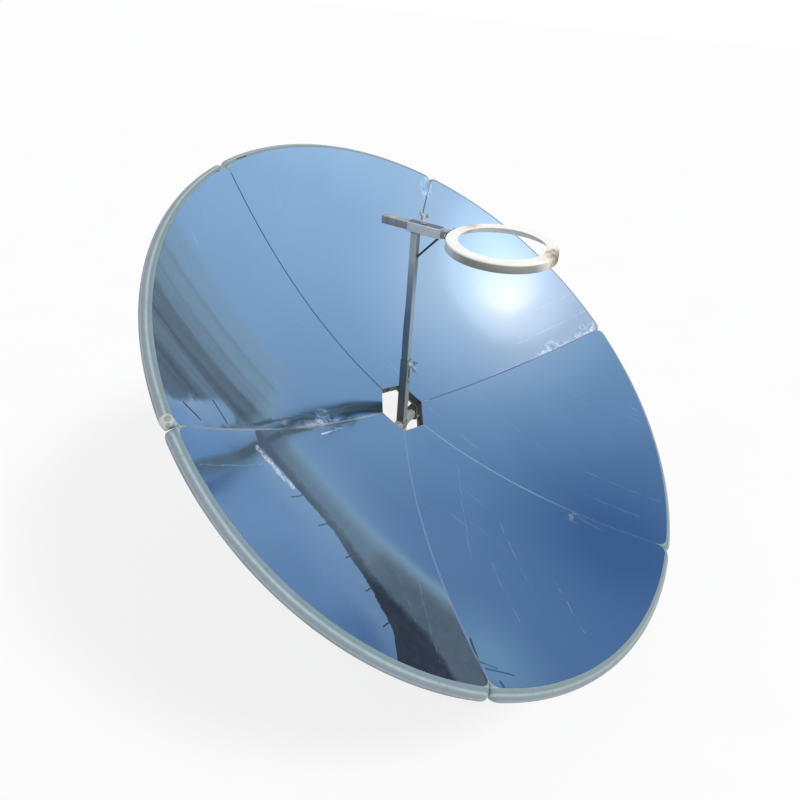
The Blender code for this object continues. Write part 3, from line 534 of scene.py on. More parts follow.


# painted light and shade: the post's shade side dark and bluish, paler towards the top; its sun side paler
postTones = {
    "shade": [
        (0.447, (196, 196, 178)), (0.456, (160, 160, 150)), (0.464, (84, 88, 92)), (0.53, (96, 106, 116)),
        (0.64, (108, 130, 146)), (0.80, (112, 138, 168)), (0.90, (152, 170, 184)), (0.95, (186, 198, 204)),
        (1.03, (188, 200, 206)),
    ],
    "bright": [
        (0.447, (148, 162, 154)), (0.60, (154, 172, 166)), (0.70, (162, 176, 182)), (0.86, (154, 168, 178)),
        (0.93, (130, 140, 152)), (1.03, (126, 136, 148)),
    ],
}
alongArm = (0.15, 1, 1)
finish = {
    "film": filmMaterial(),
    "sheet": sheetMaterial(),
    "galvanised": wornMetal("galvanisedSteel", (168, 176, 176), (132, 142, 146), (104, 108, 106), 0.46, 0.55, 55.0),
    "flange": flangeMaterial(),
    "postShade": gradedMetal("postShadeSide", postTones["shade"], (62, 66, 72), 0.50, 0.15),
    "postBright": gradedMetal("postSunSide", postTones["bright"], (112, 114, 108), 0.50, 0.20),
    "head": wornMetal("headSteel", (184, 180, 178), (160, 158, 158), (120, 112, 104), 0.50, 0.30, 60.0),
    # painted light: the sleeve's sides bright with the mirror's light; its top dark blue, a painted reflection of the
    # sky
    "sleeveSide": wornMetal(
        "sleeveSide", (224, 230, 234), (204, 211, 216), (146, 148, 144), 0.48, 0.30, 60.0, alongArm,
    ),
    "sleeveTop": wornMetal("sleeveTop", (84, 98, 118), (66, 80, 102), (54, 58, 66), 0.44, 0.35, 60.0, alongArm),
    "wing": wornMetal("wingCasting", (206, 220, 220), (168, 186, 190), (112, 120, 124), 0.40, 0.35, 90.0),
    "zinc": wornMetal("zincHardware", (196, 196, 188), (160, 162, 158), (120, 108, 88), 0.34, 0.90, 90.0),
    "rivet": wornMetal("rivetHead", (158, 162, 158), (142, 146, 142), (120, 118, 110), 0.50, 0.20, 90.0),
    # dark steel; also used as painted shade inside the lower post, under the sleeve and the arm, and on the pivot ear
    "dark": wornMetal("darkSteel", (88, 94, 98), (66, 72, 78), (92, 74, 58), 0.50, 0.50, 80.0),
    "weld": wornMetal("weldBead", (120, 122, 122), (86, 88, 92), (98, 76, 58), 0.50, 0.60, 200.0),
    "olive": paintedMetal("bracketPaint", (92, 92, 70), (72, 74, 58), (120, 116, 104), 0.50),
    "stand": paintedMetal("standPaint", (86, 94, 98), (72, 80, 86), (150, 148, 140), 0.45),
    "rubber": mouldedPlastic("footRubber", (34, 34, 35), (62, 60, 58), 0.72, 180.0),
    "plastic": mouldedPlastic("knobPlastic", (30, 31, 33), (52, 53, 56), 0.46, 420.0),
    "enamel": ringMaterial(),
}
print("finishes ready,", len(finish))


# Mesh tools: every shape is drawn where it stands, in metres.
def shadeSmooth(mesh, angle):
    if angle:
        mesh.shade_smooth()
        mesh.set_sharp_from_angle(angle=math.radians(angle))


def holdMesh(name, bm, tints, smooth=35.0):
    bmesh.ops.remove_doubles(bm, verts=bm.verts, dist=0.000001)
    bmesh.ops.recalc_face_normals(bm, faces=bm.faces)
    mesh = bpy.data.meshes.new(name)
    bm.to_mesh(mesh)
    bm.free()
    for tint in tints.split():
        mesh.materials.append(finish[tint])
    shadeSmooth(mesh, smooth)
    return addObject(name, mesh)


def settle(made, smooth=None):  # modifiers become plain mesh
    graph = bpy.context.evaluated_depsgraph_get()
    mesh = bpy.data.meshes.new_from_object(made.evaluated_get(graph), depsgraph=graph)
    made.modifiers.clear()
    made.data = mesh
    shadeSmooth(mesh, smooth)
    return made


def evenNormals(made):
    made.modifiers.new("even", "WEIGHTED_NORMAL").keep_sharp = True
    return settle(made)


def thickened(made, thickness, smooth, quality=False):  # a sheet that faces the sun, given its thickness behind
    faces = made.data.polygons
    if faces[len(faces) // 2].normal.dot(dishFrame.to_3x3() @ Vector((0, 0, 1))) < 0:
        made.data.flip_normals()
    wall = made.modifiers.new("wall", "SOLIDIFY")
    wall.thickness, wall.offset = thickness, -1.0
    wall.use_even_offset, wall.use_quality_normals = True, quality
    return settle(made, smooth)


def carved(made, *cutters):
    tools = [holdMesh("cutter", cutter, "dark", 0) for cutter in cutters]
    for tool in tools:
        step = made.modifiers.new("carve", "BOOLEAN")
        step.operation, step.solver, step.object = "DIFFERENCE", "EXACT", tool
    settle(made, 35.0)
    for tool in tools:
        bpy.data.objects.remove(tool)
    return made


def tintByNormal(made, slots, inside=0.0, insideSlot=0):  # slots by the way a face looks, such as +x
    for face in made.data.polygons:
        if max(abs(face.center.x), abs(face.center.y)) < inside:
            face.material_index = insideSlot
            continue
        for (sign, axis), number in slots.items():
            if float(sign + "1") * getattr(face.normal, axis) > 0.75:
                face.material_index = number


finished = []


def fit(made, body, slotName, *nodes):
    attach(made, body)
    if nodes:
        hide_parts(*nodes)
    finished.append(made.name)
    return made


def clip(value, low=0.0, high=1.0):
    return max(low, min(high, value))


def polar(radius, angle, height=0.0):
    return Vector((radius * math.cos(angle), radius * math.sin(angle), height))


def loft(bm, loops, closedWay=False):  # capped at both ends, unless the last loop joins the first
    rings = [[bm.verts.new(point) for point in loop] for loop in loops]
    for first, second in zip(rings, rings[1:] + rings[:1] if closedWay else rings[1:]):
        for corners in zip(first, first[1:] + first[:1], second[1:] + second[:1], second):
            bm.faces.new(corners)
    if not closedWay:
        bm.faces.new(rings[0][::-1])
        bm.faces.new(rings[-1])


def squareLoop(halfX, halfY, corner, height, steps=5):
    points = []
    for index, (signX, signY) in enumerate(((1, 1), (-1, 1), (-1, -1), (1, -1))):
        middle = Vector((signX * (halfX - corner), signY * (halfY - corner), height))
        points += [middle + polar(corner, quarter * (index + part / steps)) for part in range(steps + 1)]
    return points


def squareLoft(bm, place, halves, corner, rows, steps=5):  # rows: how far in, how high
    loft(bm, [[place @ point for point in squareLoop(halves[0] - inset, halves[1] - inset, corner, height, steps)]
              for inset, height in rows])


def squareTube(name, tints, place, halves, wall, corner, ends, edge=0.0003):
    bm = bmesh.new()
    (low, high), inner, least = ends, max(corner - wall, 0.0004), 0.0003
    loops = []
    for inset, lip, radius, height in (
        (0.0, edge, corner, low), (0.0, 0.0, corner, low + edge),
        (0.0, 0.0, corner, high - edge), (0.0, edge, corner, high),
        (wall, -edge, inner, high), (wall, 0.0, inner, high - edge),
        (wall, 0.0, inner, low + edge), (wall, -edge, inner, low),
    ):
        loop = squareLoop(halves[0] - inset - lip, halves[1] - inset - lip, max(radius - lip, least), height)
        loops.append([place @ point for point in loop])
    loft(bm, loops, closedWay=True)
    return holdMesh(name, bm, tints)


def turned(bm, place, profile, steps=48, closed=False, wave=lambda angle: 1.0):  # profile: radius, height
    rings = []
    for radius, height in profile:
        if radius < 1e-6:
            rings.append([bm.verts.new(place @ Vector((0, 0, height)))] * steps)
            continue
        angles = [circle * index / steps for index in range(steps)]
        rings.append([bm.verts.new(place @ polar(radius * wave(angle), angle, height)) for angle in angles])
    for first, second in zip(rings, rings[1:] + rings[:1] if closed else rings[1:]):
        for corners in zip(first, first[1:] + first[:1], second[1:] + second[:1], second):
            unique = list(dict.fromkeys(corners))
            if len(unique) > 2:
                bm.faces.new(unique)


def softBox(bm, place, low, high, edge, segments):
    low, high = Vector(low), Vector(high)
    shape = place @ Matrix.Translation((low + high) / 2) @ Matrix.Diagonal((*(high - low), 1.0))
    verts = bmesh.ops.create_cube(bm, size=1.0, matrix=shape)["verts"]
    edges = {line for vert in verts for line in vert.link_edges}
    bmesh.ops.bevel(bm, geom=list(edges), offset=edge, segments=segments, affect="EDGES", profile=0.6)


def hexPrism(bm, place, across, low, high, chamfer=0.0007, spin=0.0):
    rise, corner = chamfer * 0.6, across / math.sqrt(3)
    levels = ((corner - chamfer, low), (corner, low + rise), (corner, high - rise), (corner - chamfer, high))
    loft(bm, [[place @ polar(radius, spin + k * petalTurn, height) for k in range(6)] for radius, height in levels])


def lookAlong(start, end):  # a frame at start whose Z runs to end
    way = Vector(end) - Vector(start)
    return Matrix.Translation(start) @ way.to_track_quat("Z", "Y").to_matrix().to_4x4(), way.length


def roundBar(bm, place, start, end, radius, steps=24, edge=0.0):
    where, length = lookAlong(start, end)
    side = [(radius - edge, 0), (radius, edge), (radius, length - edge), (radius - edge, length)]
    turned(bm, place @ where, [(0, 0), *side, (0, length)], steps)


# Geometry Nodes tools
def geometryTree(name, inputs):  # a number gives its socket's kind and value, a word the kind alone
    tree = bpy.data.node_groups.new(name, "GeometryNodeTree")
    tree.is_modifier = True
    for way in ("INPUT", "OUTPUT"):
        tree.interface.new_socket("Geometry", in_out=way, socket_type="NodeSocketGeometry")
    for label, value in inputs.items():
        kind = value if isinstance(value, str) else type(value).__name__.title()
        socket = tree.interface.new_socket(label, in_out="INPUT", socket_type="NodeSocket" + kind)
        if kind != value:
            socket.default_value = value
    entry = tree.nodes.new("NodeGroupInput")
    tree.nodes.new("NodeGroupOutput")
    return tree, {label: Wire(entry, label) for label in ("Geometry", *inputs)}


def dressTree(tree, given, shape):  # the last steps of every tree
    whole = addNode(tree, "GeometryNodeRealizeInstances", {"Geometry": shape})
    dressed = addNode(tree, "GeometryNodeSetMaterial", {"Geometry": whole, "Material": given["Finish"]})
    plug(tree.nodes["Group Output"].inputs[0], dressed)
    return tree


def runTree(name, tree, values, source=None, smooth=None):
    holder = addObject(name, source or bpy.data.meshes.new(name))
    step = holder.modifiers.new("shape", "NODES")
    step.node_group = tree
    for item in tree.interface.items_tree:
        if item.in_out == "INPUT" and item.name in values:
            step[item.identifier] = values[item.name]
    return settle(holder, smooth)


# Mirror films: one tree lays a grid on the paraboloid, once for each petal.
filmShape = {
    "Focal Length": layout["focalLength"], "Mirror Radius": layout["mirrorRadius"], "Hub Apothem": 0.06775,
    "Edge Gap": 0.0005, "Corner Radius": 0.021, "Rows": 46, "Columns": 37,
    "Dish Turn": layout["dishTilt"], "Vertex Height": layout["vertexHeight"],
}
filmThickness = 0.0004


def filmTree():
    tree, given = geometryTree("mirrorPetal", {**filmShape, "Middle Angle": 0.0, "Finish": "Material"})
    full, corner, hub = given["Mirror Radius"], given["Corner Radius"], given["Hub Apothem"]
    sizes = {"Size X": 1.0, "Size Y": 2.0, "Vertices X": given["Rows"], "Vertices Y": given["Columns"]}
    grid = addNode(tree, "GeometryNodeMeshGrid", sizes, "Mesh")
    outward, side, _ = addNode(tree, "GeometryNodeInputPosition").axes()
    share = 1.0 - outward.takenFrom(0.5, clamp=True) ** 1.6  # rows stand closer towards the rim
    start = hub / (side * (petalTurn / 2)).calc("COSINE")
    radius = start + (full - start) * share
    past = (radius - (full - corner)).most(0.0)
    pulled = corner - (corner ** 2.0 - past ** 2.0).most(0.0).calc("SQRT")
    inset = (pulled + given["Edge Gap"]) / radius
    angle = side * (petalTurn / 2 - inset.calc("ARCSINE")) + given["Middle Angle"]
    height = radius ** 2.0 / (given["Focal Length"] * 4.0)
    point = addNode(tree, "ShaderNodeCombineXYZ", (radius * angle.calc("COSINE"), radius * angle.calc("SINE"), height))
    laid = addNode(tree, "GeometryNodeSetPosition", {"Geometry": grid, "Position": point})
    tip = addNode(tree, "FunctionNodeAxisAngleToRotation", {"Axis": (0, 1, 0), "Angle": given["Dish Turn"]})
    lift = addNode(tree, "ShaderNodeCombineXYZ", {"Z": given["Vertex Height"]})
    stood = addNode(tree, "GeometryNodeTransform", {"Geometry": laid, "Translation": lift, "Rotation": tip})
    return dressTree(tree, given, stood)


mirrorTree = filmTree()
for number in range(6):
    middle = layout["firstSeam"] + (number + 0.5) * petalTurn
    values = {**filmShape, "Middle Angle": middle, "Finish": finish["film"]}
    skin = runTree(f"mirror_skin_{number + 1}", mirrorTree, values)
    fit(thickened(skin, filmThickness, 50.0), "dish", "mirror_film", f"mirror_film_{number + 1}")
print("mirror films laid")


# Petals: sheet, rolled rim, side flanges and inner flange.
petalShape = {
    "apothem": 0.06625, "filmDepth": 0.0007, "sheet": 0.0008, "sideFlange": 0.016, "flangeStart": 0.110,
    "flangeEnd": 0.010, "seamGap": 0.0002, "innerLow": -0.02895, "rows": 22, "cornerWide": 0.022, "cornerDeep": 0.015,
    "holeReach": 0.0772, "holeDepth": -0.0012, "evenSteps": 15,
    "edgeSteps": [0.0, 0.0012, 0.003, 0.0055, 0.009, 0.014, 0.021],
    "rim": [  # past the mirror's edge: outwards, upwards, in from the seam
        (0.0020, 0.0004, 0.0), (0.0040, 0.0004, 0.0), (0.0074, 0.0, 0.0), (0.0100, -0.0007, 0.0),
        (0.0125, -0.0016, 0.0), (0.0148, -0.0027, 0.0), (0.0170, -0.0040, 0.0002), (0.0190, -0.0058, 0.0004),
        (0.0208, -0.0080, 0.0007), (0.0220, -0.0100, 0.0010), (0.0228, -0.0120, 0.0013), (0.0230, -0.0140, 0.0015),
    ],
}


def mirrorHeight(radius, depth):
    slope = radius / (2 * layout["focalLength"])
    return radius * radius / (4 * layout["focalLength"]) - depth * math.hypot(1.0, slope)


def cornerPull(away):  # how far the rounded corner draws the rim in, at a distance from the seam
    left = max(0.0, 1.0 - away / petalShape["cornerWide"])
    return petalShape["cornerDeep"] * (1.0 - math.sqrt(1.0 - left * left))


def petalSheet(number):
    shape, half, full, even = petalShape, petalTurn / 2, layout["mirrorRadius"], petalShape["evenSteps"]
    near = [spot / (half * full) for spot in shape["edgeSteps"]]
    near += [near[-1] + (1.0 - near[-1]) * k / even for k in range(1, even + 1)]  # fine by the seam, then even
    fineSides = [spot - 1.0 for spot in near] + [1.0 - spot for spot in near[-2::-1]]
    last = len(fineSides) - 1
    hubCorner = shape["apothem"] / math.cos(half)
    span = full - hubCorner
    firstStep, lastStep = (shape["flangeStart"] - hubCorner) / span, 1 - shape["flangeEnd"] / span
    steps = [firstStep + (lastStep - firstStep) * k / shape["rows"] for k in range(shape["rows"] + 1)]
    levels = [(step, 0, 0, 0) for step in (0.0, 0.0, *steps, 1.0)] + [(2.0, *row) for row in shape["rim"]]
    bm = bmesh.new()
    grid = []
    for row, (step, over, drop, inset) in enumerate(levels):
        line = []
        fine = clip((step - 0.35) / 0.45)  # from even columns at the hub to fine ones by the seams
        flanged = row > 0 and firstStep - 0.001 < step < lastStep + 0.001
        for column in range(-1, last + 2):
            if column in (-1, last + 1) and not flanged:
                line.append(None)
                continue
            index = clip(column, 0, last)
            side = (1.0 - fine) * (index / last * 2 - 1) + fine * fineSides[index]
            start = shape["apothem"] / math.cos(side * half)
            radius = start + (full - start) * min(step, 1.0)
            angle = side * (half - math.asin((shape["seamGap"] + inset) / (radius + over)))
            radius -= cornerPull((half - abs(angle)) * full) * clip((min(step, 1.0) - 0.88) / 0.10)
            height = mirrorHeight(radius, shape["filmDepth"]) + drop
            radius += over
            if column in (-1, last + 1):
                height -= shape["sideFlange"]
            if row == 0:
                height = shape["innerLow"]
            if row <= 1:
                radius = shape["apothem"] / math.cos(angle)
            line.append(bm.verts.new(polar(radius, angle, height)))
        grid.append(line)
    for low, high in zip(grid, grid[1:]):
        for corners in zip(low, high, high[1:], low[1:]):
            if None not in corners:
                bm.faces.new(corners)
    middle = layout["firstSeam"] + (number + 0.5) * petalTurn
    bmesh.ops.transform(bm, matrix=dishFrame @ spun(middle, "Z"), verts=bm.verts)
    mesh = bpy.data.meshes.new(f"petal_sheet_{number + 1}")
    bm.to_mesh(mesh)
    bm.free()
    mesh.materials.append(finish["sheet"])
    made = thickened(addObject(mesh.name, mesh), shape["sheet"], 38.0, quality=True)
    made.data.materials.append(finish["flange"])
    back = dishFrame.inverted()
    for face in made.data.polygons:  # the flange round the hole
        spot = back @ face.center
        if math.hypot(spot.x, spot.y) < shape["holeReach"] and spot.z < shape["holeDepth"]:
            face.material_index = 1
    return made


petals = [fit(petalSheet(number), "dish", "petal_sheet", f"petal_{number + 1}") for number in range(6)]
print("petals folded")


# Bolts: drawn once, then set on points by one tree.
def boltShape(name, headLow, headHigh, nutLow, nutHigh, across, shank=0.0029):
    bm = bmesh.new()
    hexPrism(bm, upright, across, headLow, headHigh)
    hexPrism(bm, upright, across, nutLow, nutHigh, spin=0.3)
    low, high, tip = headLow + 0.001, nutHigh + 0.0015, 0.0006
    turned(bm, upright, [(0, low), (shank, low), (shank, high - tip), (shank - tip, high), (0, high)], 14)
    return holdMesh(name, bm, "zinc", 30.0)


def boltTree():
    tree, given = geometryTree("boltField", {"Bolt": "Object", "Seed": 4, "Most Turn": 1.0, "Finish": "Material"})
    info = addNode(tree, "GeometryNodeObjectInfo", {"Object": given["Bolt"]}, "Geometry")
    axis = addNode(tree, "GeometryNodeInputNamedAttribute", {"Name": "axis"}, "Attribute", data_type="FLOAT_VECTOR")
    aligned = addNode(tree, "FunctionNodeAlignRotationToVector", {"Vector": axis}, axis="Z")
    seeds = {3: given["Most Turn"], "Seed": given["Seed"]}
    chance = addNode(tree, "FunctionNodeRandomValue", seeds, 1, data_type="FLOAT")
    about = addNode(tree, "FunctionNodeAxisAngleToRotation", {"Axis": (0, 0, 1), "Angle": chance})
    turns = {"Rotation": aligned, "Rotate By": about}
    spin = addNode(tree, "FunctionNodeRotateRotation", turns, rotation_space="LOCAL")
    placing = {"Points": given["Geometry"], "Instance": info, "Rotation": spin}
    return dressTree(tree, given, addNode(tree, "GeometryNodeInstanceOnPoints", placing))


fieldTree = boltTree()


def boltField(name, measures, spots, seed):  # spots: place and axis of each bolt
    pattern = boltShape(name + "_pattern", *measures)
    mesh = bpy.data.meshes.new(name + "_spots")
    mesh.from_pydata([tuple(spot) for spot, _ in spots], [], [])
    stored = mesh.attributes.new("axis", "FLOAT_VECTOR", "POINT")
    for row, (_, way) in zip(stored.data, spots):
        row.vector = way
    values = {"Bolt": pattern, "Seed": seed, "Most Turn": 1.0, "Finish": finish["zinc"]}
    made = runTree(name, fieldTree, values, mesh, 30.0)
    bpy.data.objects.remove(pattern)
    return made


def dishSpot(place, way):
    return dishFrame @ Vector(place), dishFrame.to_3x3() @ Vector(way)


boltSet = {  # measures: head from and to, nut from and to, across flats
    "hub": (0.06275, 0.06595, 0.07065, 0.07465, 0.0095), "hubHeight": -0.016975, "hubSeed": 3,
    "seam": (-0.0053, -0.0013, 0.0013, 0.0058, 0.0095), "seamRadius": 0.600, "seamDepth": 0.0092, "seamSeed": 5,
}
hubSpots, seamSpots = [], []
for number in range(6):
    seam = layout["firstSeam"] + number * petalTurn
    hubSpots.append(dishSpot((0, 0, boltSet["hubHeight"]), polar(1.0, seam + petalTurn / 2)))
    level = mirrorHeight(boltSet["seamRadius"], boltSet["seamDepth"])
    seamSpots.append(dishSpot(polar(boltSet["seamRadius"], seam, level), (-math.sin(seam), math.cos(seam), 0)))
print("bolt spots", len(hubSpots) + len(seamSpots))
for kind, spots in (("hub", hubSpots), ("seam", seamSpots)):
    made = boltField(f"{kind}_bolts", boltSet[kind], spots, boltSet[f"{kind}Seed"])
    fit(made, "dish", "zinc_hardware", *[f"{kind}_bolt_{k + 1}" for k in range(6)])

rivets = {
    "petal": 3, "places": [((-0.2639, -0.7128, 0.2414), 0.0058), ((-0.2537, -0.7176, 0.2363), 0.0042)],
    "rise": 0.30, "root": -0.0004, "dome": [(0.0, 1.0), (0.35, 1.0), (0.72, 0.78), (0.94, 0.40), (1.0, 0.0)],
}
bm = bmesh.new()
skin = petals[rivets["petal"]].data
skinTree = BVHTree.FromPolygons([corner.co for corner in skin.vertices], [face.vertices for face in skin.polygons])
for place, wide in rivets["places"]:  # each seated on the rolled rim
    spot, normal, _, _ = skinTree.find_nearest(dishFrame @ Vector(place))
    dome = [(wide * out, wide * rivets["rise"] * up) for out, up in rivets["dome"]]
    turned(bm, lookAlong(spot, spot + normal)[0], dome + [(0, rivets["root"])], 28)
fit(holdMesh("rim_rivets", bm, "rivet", 50.0), "dish", "zinc_hardware")


# Weld beads: small blobs along a path.
def beadTree():
    inputs = {"Spacing": 0.0016, "Bead Radius": 0.0013, "Seed": 2, "Finish": "Material"}
    tree, given = geometryTree("weldBead", inputs)
    line = addNode(tree, "GeometryNodeMeshToCurve", {"Mesh": given["Geometry"]})
    even = addNode(tree, "GeometryNodeResampleCurve", {"Curve": line, "Length": given["Spacing"]}, mode="LENGTH")
    sizes = {"Segments": 8, "Rings": 5, "Radius": given["Bead Radius"]}
    blob = addNode(tree, "GeometryNodeMeshUVSphere", sizes, "Mesh")
    chance = addNode(tree, "FunctionNodeRandomValue", {2: 0.8, 3: 1.15, "Seed": given["Seed"]}, 1, data_type="FLOAT")
    placing = {"Points": even, "Instance": blob, "Scale": chance}
    return dressTree(tree, given, addNode(tree, "GeometryNodeInstanceOnPoints", placing))


weldTree = beadTree()


def weldPath(name, paths, body, slotName, radius, seed, tint="weld"):  # paths: points, and whether they close
    points, edges = [], []
    for path, closed in paths:
        first = len(points)
        points += [tuple(point) for point in path]
        edges += [(k, k + 1) for k in range(first, len(points) - 1)]
        if closed:
            edges.append((len(points) - 1, first))
    mesh = bpy.data.meshes.new(name + "_path")
    mesh.from_pydata(points, edges, [])
    values = {"Spacing": radius * 1.25, "Bead Radius": radius, "Seed": seed, "Finish": finish[tint]}
    return fit(runTree(name, weldTree, values, mesh, 60.0), body, slotName)


def circlePath(place, radius, height, count):
    return [place @ polar(radius, circle * k / count, height) for k in range(count)]


# The swivel head: cross tube, stem, collar, spigot, lug.
headShape = {
    "cross": (0.014, 0.0063, 0.0585), "stem": (0.016, -0.008), "collar": (0.025, -0.105, -0.0985),
    "spigot": (0.0183, -0.185), "lug": ((-0.010, -0.0597, -0.095), (0.010, -0.010, -0.075)), "edge": 0.0008,
}
outer, bore, half = headShape["cross"]
(stem, stemTop), (collar, low, top), (spigot, foot) = headShape["stem"], headShape["collar"], headShape["spigot"]
edge = headShape["edge"]
bm = bmesh.new()
turned(bm, headFrame @ spun(-quarter, "X"), [
    (bore, -half), (outer - edge, -half), (outer, -half + edge),
    (outer, half - edge), (outer - edge, half), (bore, half),
], 56, closed=True)
turned(bm, headFrame, [
    (0, stemTop), (stem, stemTop), (stem, top + 0.003), (stem + edge, top + 0.001), (stem + 0.003, top),
    (collar - edge, top), (collar, top - edge), (collar, low + edge), (collar - edge, low), (spigot, low),
    (spigot, foot + 0.001), (spigot - 0.001, foot), (0, foot),
], 56)
softBox(bm, headFrame, *headShape["lug"], 0.0016, 3)
fit(holdMesh("swivel_head", bm, "head"), "head", "galvanised_steel", "stand_head")

# Lower post: a square tube notched over the cross tube.
postShape = {"halves": (0.0115, 0.0115), "wall": 0.002, "corner": 0.0028, "ends": (0.0, 0.2114)}
postCuts = {
    "saddle": 0.0143, "slot": (0.1584, 0.1834), "slotHalf": 0.0032, "holes": [(0.1434, 0.003), (0.1984, 0.0043)],
    "from": 0.008, "to": 0.02, "inside": 0.0107,
}
lowerPost = squareTube("lower_post", "postShade postBright galvanised dark", headFrame, **postShape)
saddle, slotCut, holes = bmesh.new(), bmesh.new(), bmesh.new()
roundBar(saddle, headFrame, (0, -0.03, 0), (0, 0.03, 0), postCuts["saddle"], 48)
low, high = postCuts["slot"]
face = headFrame @ moved(postCuts["from"], 0, (low + high) / 2) @ spun(quarter, "Y")
squareLoft(slotCut, face, ((high - low) / 2, postCuts["slotHalf"]), 0.0031, [(0.0, 0.0), (0.0, 0.01)], 6)
for height, radius in postCuts["holes"]:
    roundBar(holes, headFrame, (postCuts["from"], 0, height), (postCuts["to"], 0, height), radius)
carved(lowerPost, saddle, slotCut, holes)
# painted light and shade: the sun side and tops take the bright finish, the camera side the shade finish, and the
# inside of the tube dark steel as painted shade
tintByNormal(lowerPost, {"+x": 1, "-x": 2, "+y": 2, "+z": 1}, postCuts["inside"], 3)
fit(evenNormals(lowerPost), "head", "galvanised_steel", "post_outer")

welds = {"foot": 0.0122, "footWiden": 1.35, "footLift": 0.0004, "stem": 0.0165, "stemCross": 0.0142, "steps": 48}
footPath, stemPath = [], []
for k in range(welds["steps"] + 1):
    x, y, _ = welds["footWiden"] * polar(1.0, circle * k / welds["steps"])
    x, y = welds["foot"] * clip(x, -1, 1), welds["foot"] * clip(y, -1, 1)
    level = math.sqrt(max(0.0, postCuts["saddle"] ** 2 - x * x)) + welds["footLift"]
    footPath.append(headFrame @ Vector((x, y, level)))
for k in range(welds["steps"]):
    spot = polar(welds["stem"], circle * k / welds["steps"])
    spot.z = -math.sqrt(max(0.0, welds["stemCross"] ** 2 - spot.x ** 2))
    stemPath.append(headFrame @ spot)
weldPath("post_foot_weld", [(footPath, False)], "head", "galvanised_steel", 0.0012, 7)
weldPath("stem_weld", [(stemPath, True)], "head", "galvanised_steel", 0.0014, 9)


# Upper post, sleeve, brace.
armHeight, boltX = 1.0316, 0.020
upperShape = {"halves": (0.0092, 0.0092), "wall": 0.0016, "corner": 0.0022, "ends": (0.520, 1.0188)}
sleeveShape = {"halves": (0.0125, 0.0125), "wall": 0.0022, "corner": 0.0026, "ends": (-0.018, 0.072)}
brace = {"foot": (0.0095, 0, 0.9560), "tip": (0.0645, 0, 1.0186), "radius": 0.0028, "edge": 0.0002}

upperPost = squareTube("upper_post", "postShade postBright galvanised", upright, **upperShape)
# painted light and shade: the sun side takes the bright finish and the camera side the shade finish
tintByNormal(upperPost, {"+x": 1, "-x": 2, "+y": 2})
fit(evenNormals(upperPost), "post", "tube_steel", "post_inner")

alongX = moved(0, 0, armHeight) @ spun(quarter, "Y")
sleeve = squareTube("arm_sleeve", "sleeveSide sleeveTop dark", alongX, **sleeveShape)
hole = bmesh.new()
roundBar(hole, upright, (boltX, 0, armHeight + 0.009), (boltX, 0, armHeight + 0.02), 0.0043)
carved(sleeve, hole)
# painted light and shade: bright sides, a top with a painted reflection of the sky, and painted shade underneath
tintByNormal(sleeve, {"+z": 1, "-z": 2})
fit(evenNormals(sleeve), "post", "tube_steel", "head_sleeve")

bm = bmesh.new()
roundBar(bm, upright, brace["foot"], brace["tip"], brace["radius"], 20, brace["edge"])
fit(holdMesh("brace_rod", bm, "dark"), "post", "tube_steel", "head_brace")
weldPath("crown_weld", [
    (squareLoop(0.0096, 0.0096, 0.0026, 1.0183, 3), True),
    (circlePath(lookAlong(brace["foot"], brace["tip"])[0], 0.0030, 0.0005, 14), True),
    (circlePath(lookAlong(brace["tip"], brace["foot"])[0], 0.0030, 0.0008, 14), True),
], "post", "tube_steel", 0.0010, 4)
print("post and sleeve ready")


# Wing bolts
def wingShape(bm, place, span, low, high, side):  # an ear that rises out of the collar and ends round
    rows, points, root, thick, turn = 14, 14, 0.0030, 0.0032, 0.8
    loops = []
    for k in range(rows + 1):
        t = k / rows
        end = (t - turn) / (1.0 - turn)  # above nought in the round end
        if end < 0:
            top, bottom = 0.45 + 0.55 * math.sin(min(1.0, t * 1.25) * quarter), 0.30 * t * t
        else:
            top, bottom = 0.98 * math.sqrt(max(0.02, 1 - end * end)), 0.30 * 0.64 + 0.28 * end * end
        top, bottom = low + (high - low) * top, low + (high - low) * bottom
        x, width = side * (root + (span - root) * math.sin(t * quarter)), thick * (1.0 - 0.35 * t) / 2
        middle, tall = (top + bottom) / 2, max((top - bottom) / 2, 0.0006)
        loop = []
        for out, up, _ in (polar(1.0, circle * j / points) for j in range(points)):
            loop.append(place @ Vector((x, width * out * min(1.0, 1.6 * abs(out) + 0.55), middle + tall * up)))
        loops.append(loop)
    loft(bm, loops)


def wingBolt(name, place, reach, collar, wings, boss=None, shank=0.004, edge=0.0004):
    bm = bmesh.new()
    low, high, radius = collar
    turned(bm, place, [(0, -reach), (shank - edge, -reach), (shank, -reach + edge), (shank, 0.002), (0, 0.002)], 24)
    turned(bm, place, [
        (0, low), (radius, low), (radius, low + 0.002), (radius - 0.0012, (low + high) / 2),
        (radius - 0.0016, high - 0.0008), (radius - 0.0026, high), (0, high),
    ], 28)
    if boss:
        hexPrism(bm, place, boss[0], 0.0003, boss[1], 0.0008)
    for side in (-1, 1):
        wingShape(bm, place, *wings, side)
    return holdMesh(name, bm, "wing", 45.0)


wingSet = {  # collar from, to and radius; wings' span, from and to; boss across flats and height
    "arm": {
        "reach": 0.0022, "collar": (0.0065, 0.0190, 0.0055), "wings": (0.0130, 0.0150, 0.0310),
        "boss": (0.0150, 0.0075),
    },
    "post": {"reach": 0.002, "collar": (0.0003, 0.0125, 0.0070), "wings": (0.0180, 0.0080, 0.0270)},
}
wingFrames = {
    "arm": moved(boltX, 0, armHeight + sleeveShape["halves"][0]),
    "post": moved(postShape["halves"][0], 0, 0.645) @ spun(quarter, "Y"),
}
for kind, place in wingFrames.items():
    made = wingBolt(f"{kind}_wing", place, **wingSet[kind])
    fit(made, f"{kind}_clamp", "zinc_hardware", f"{kind}_wing_bolt")

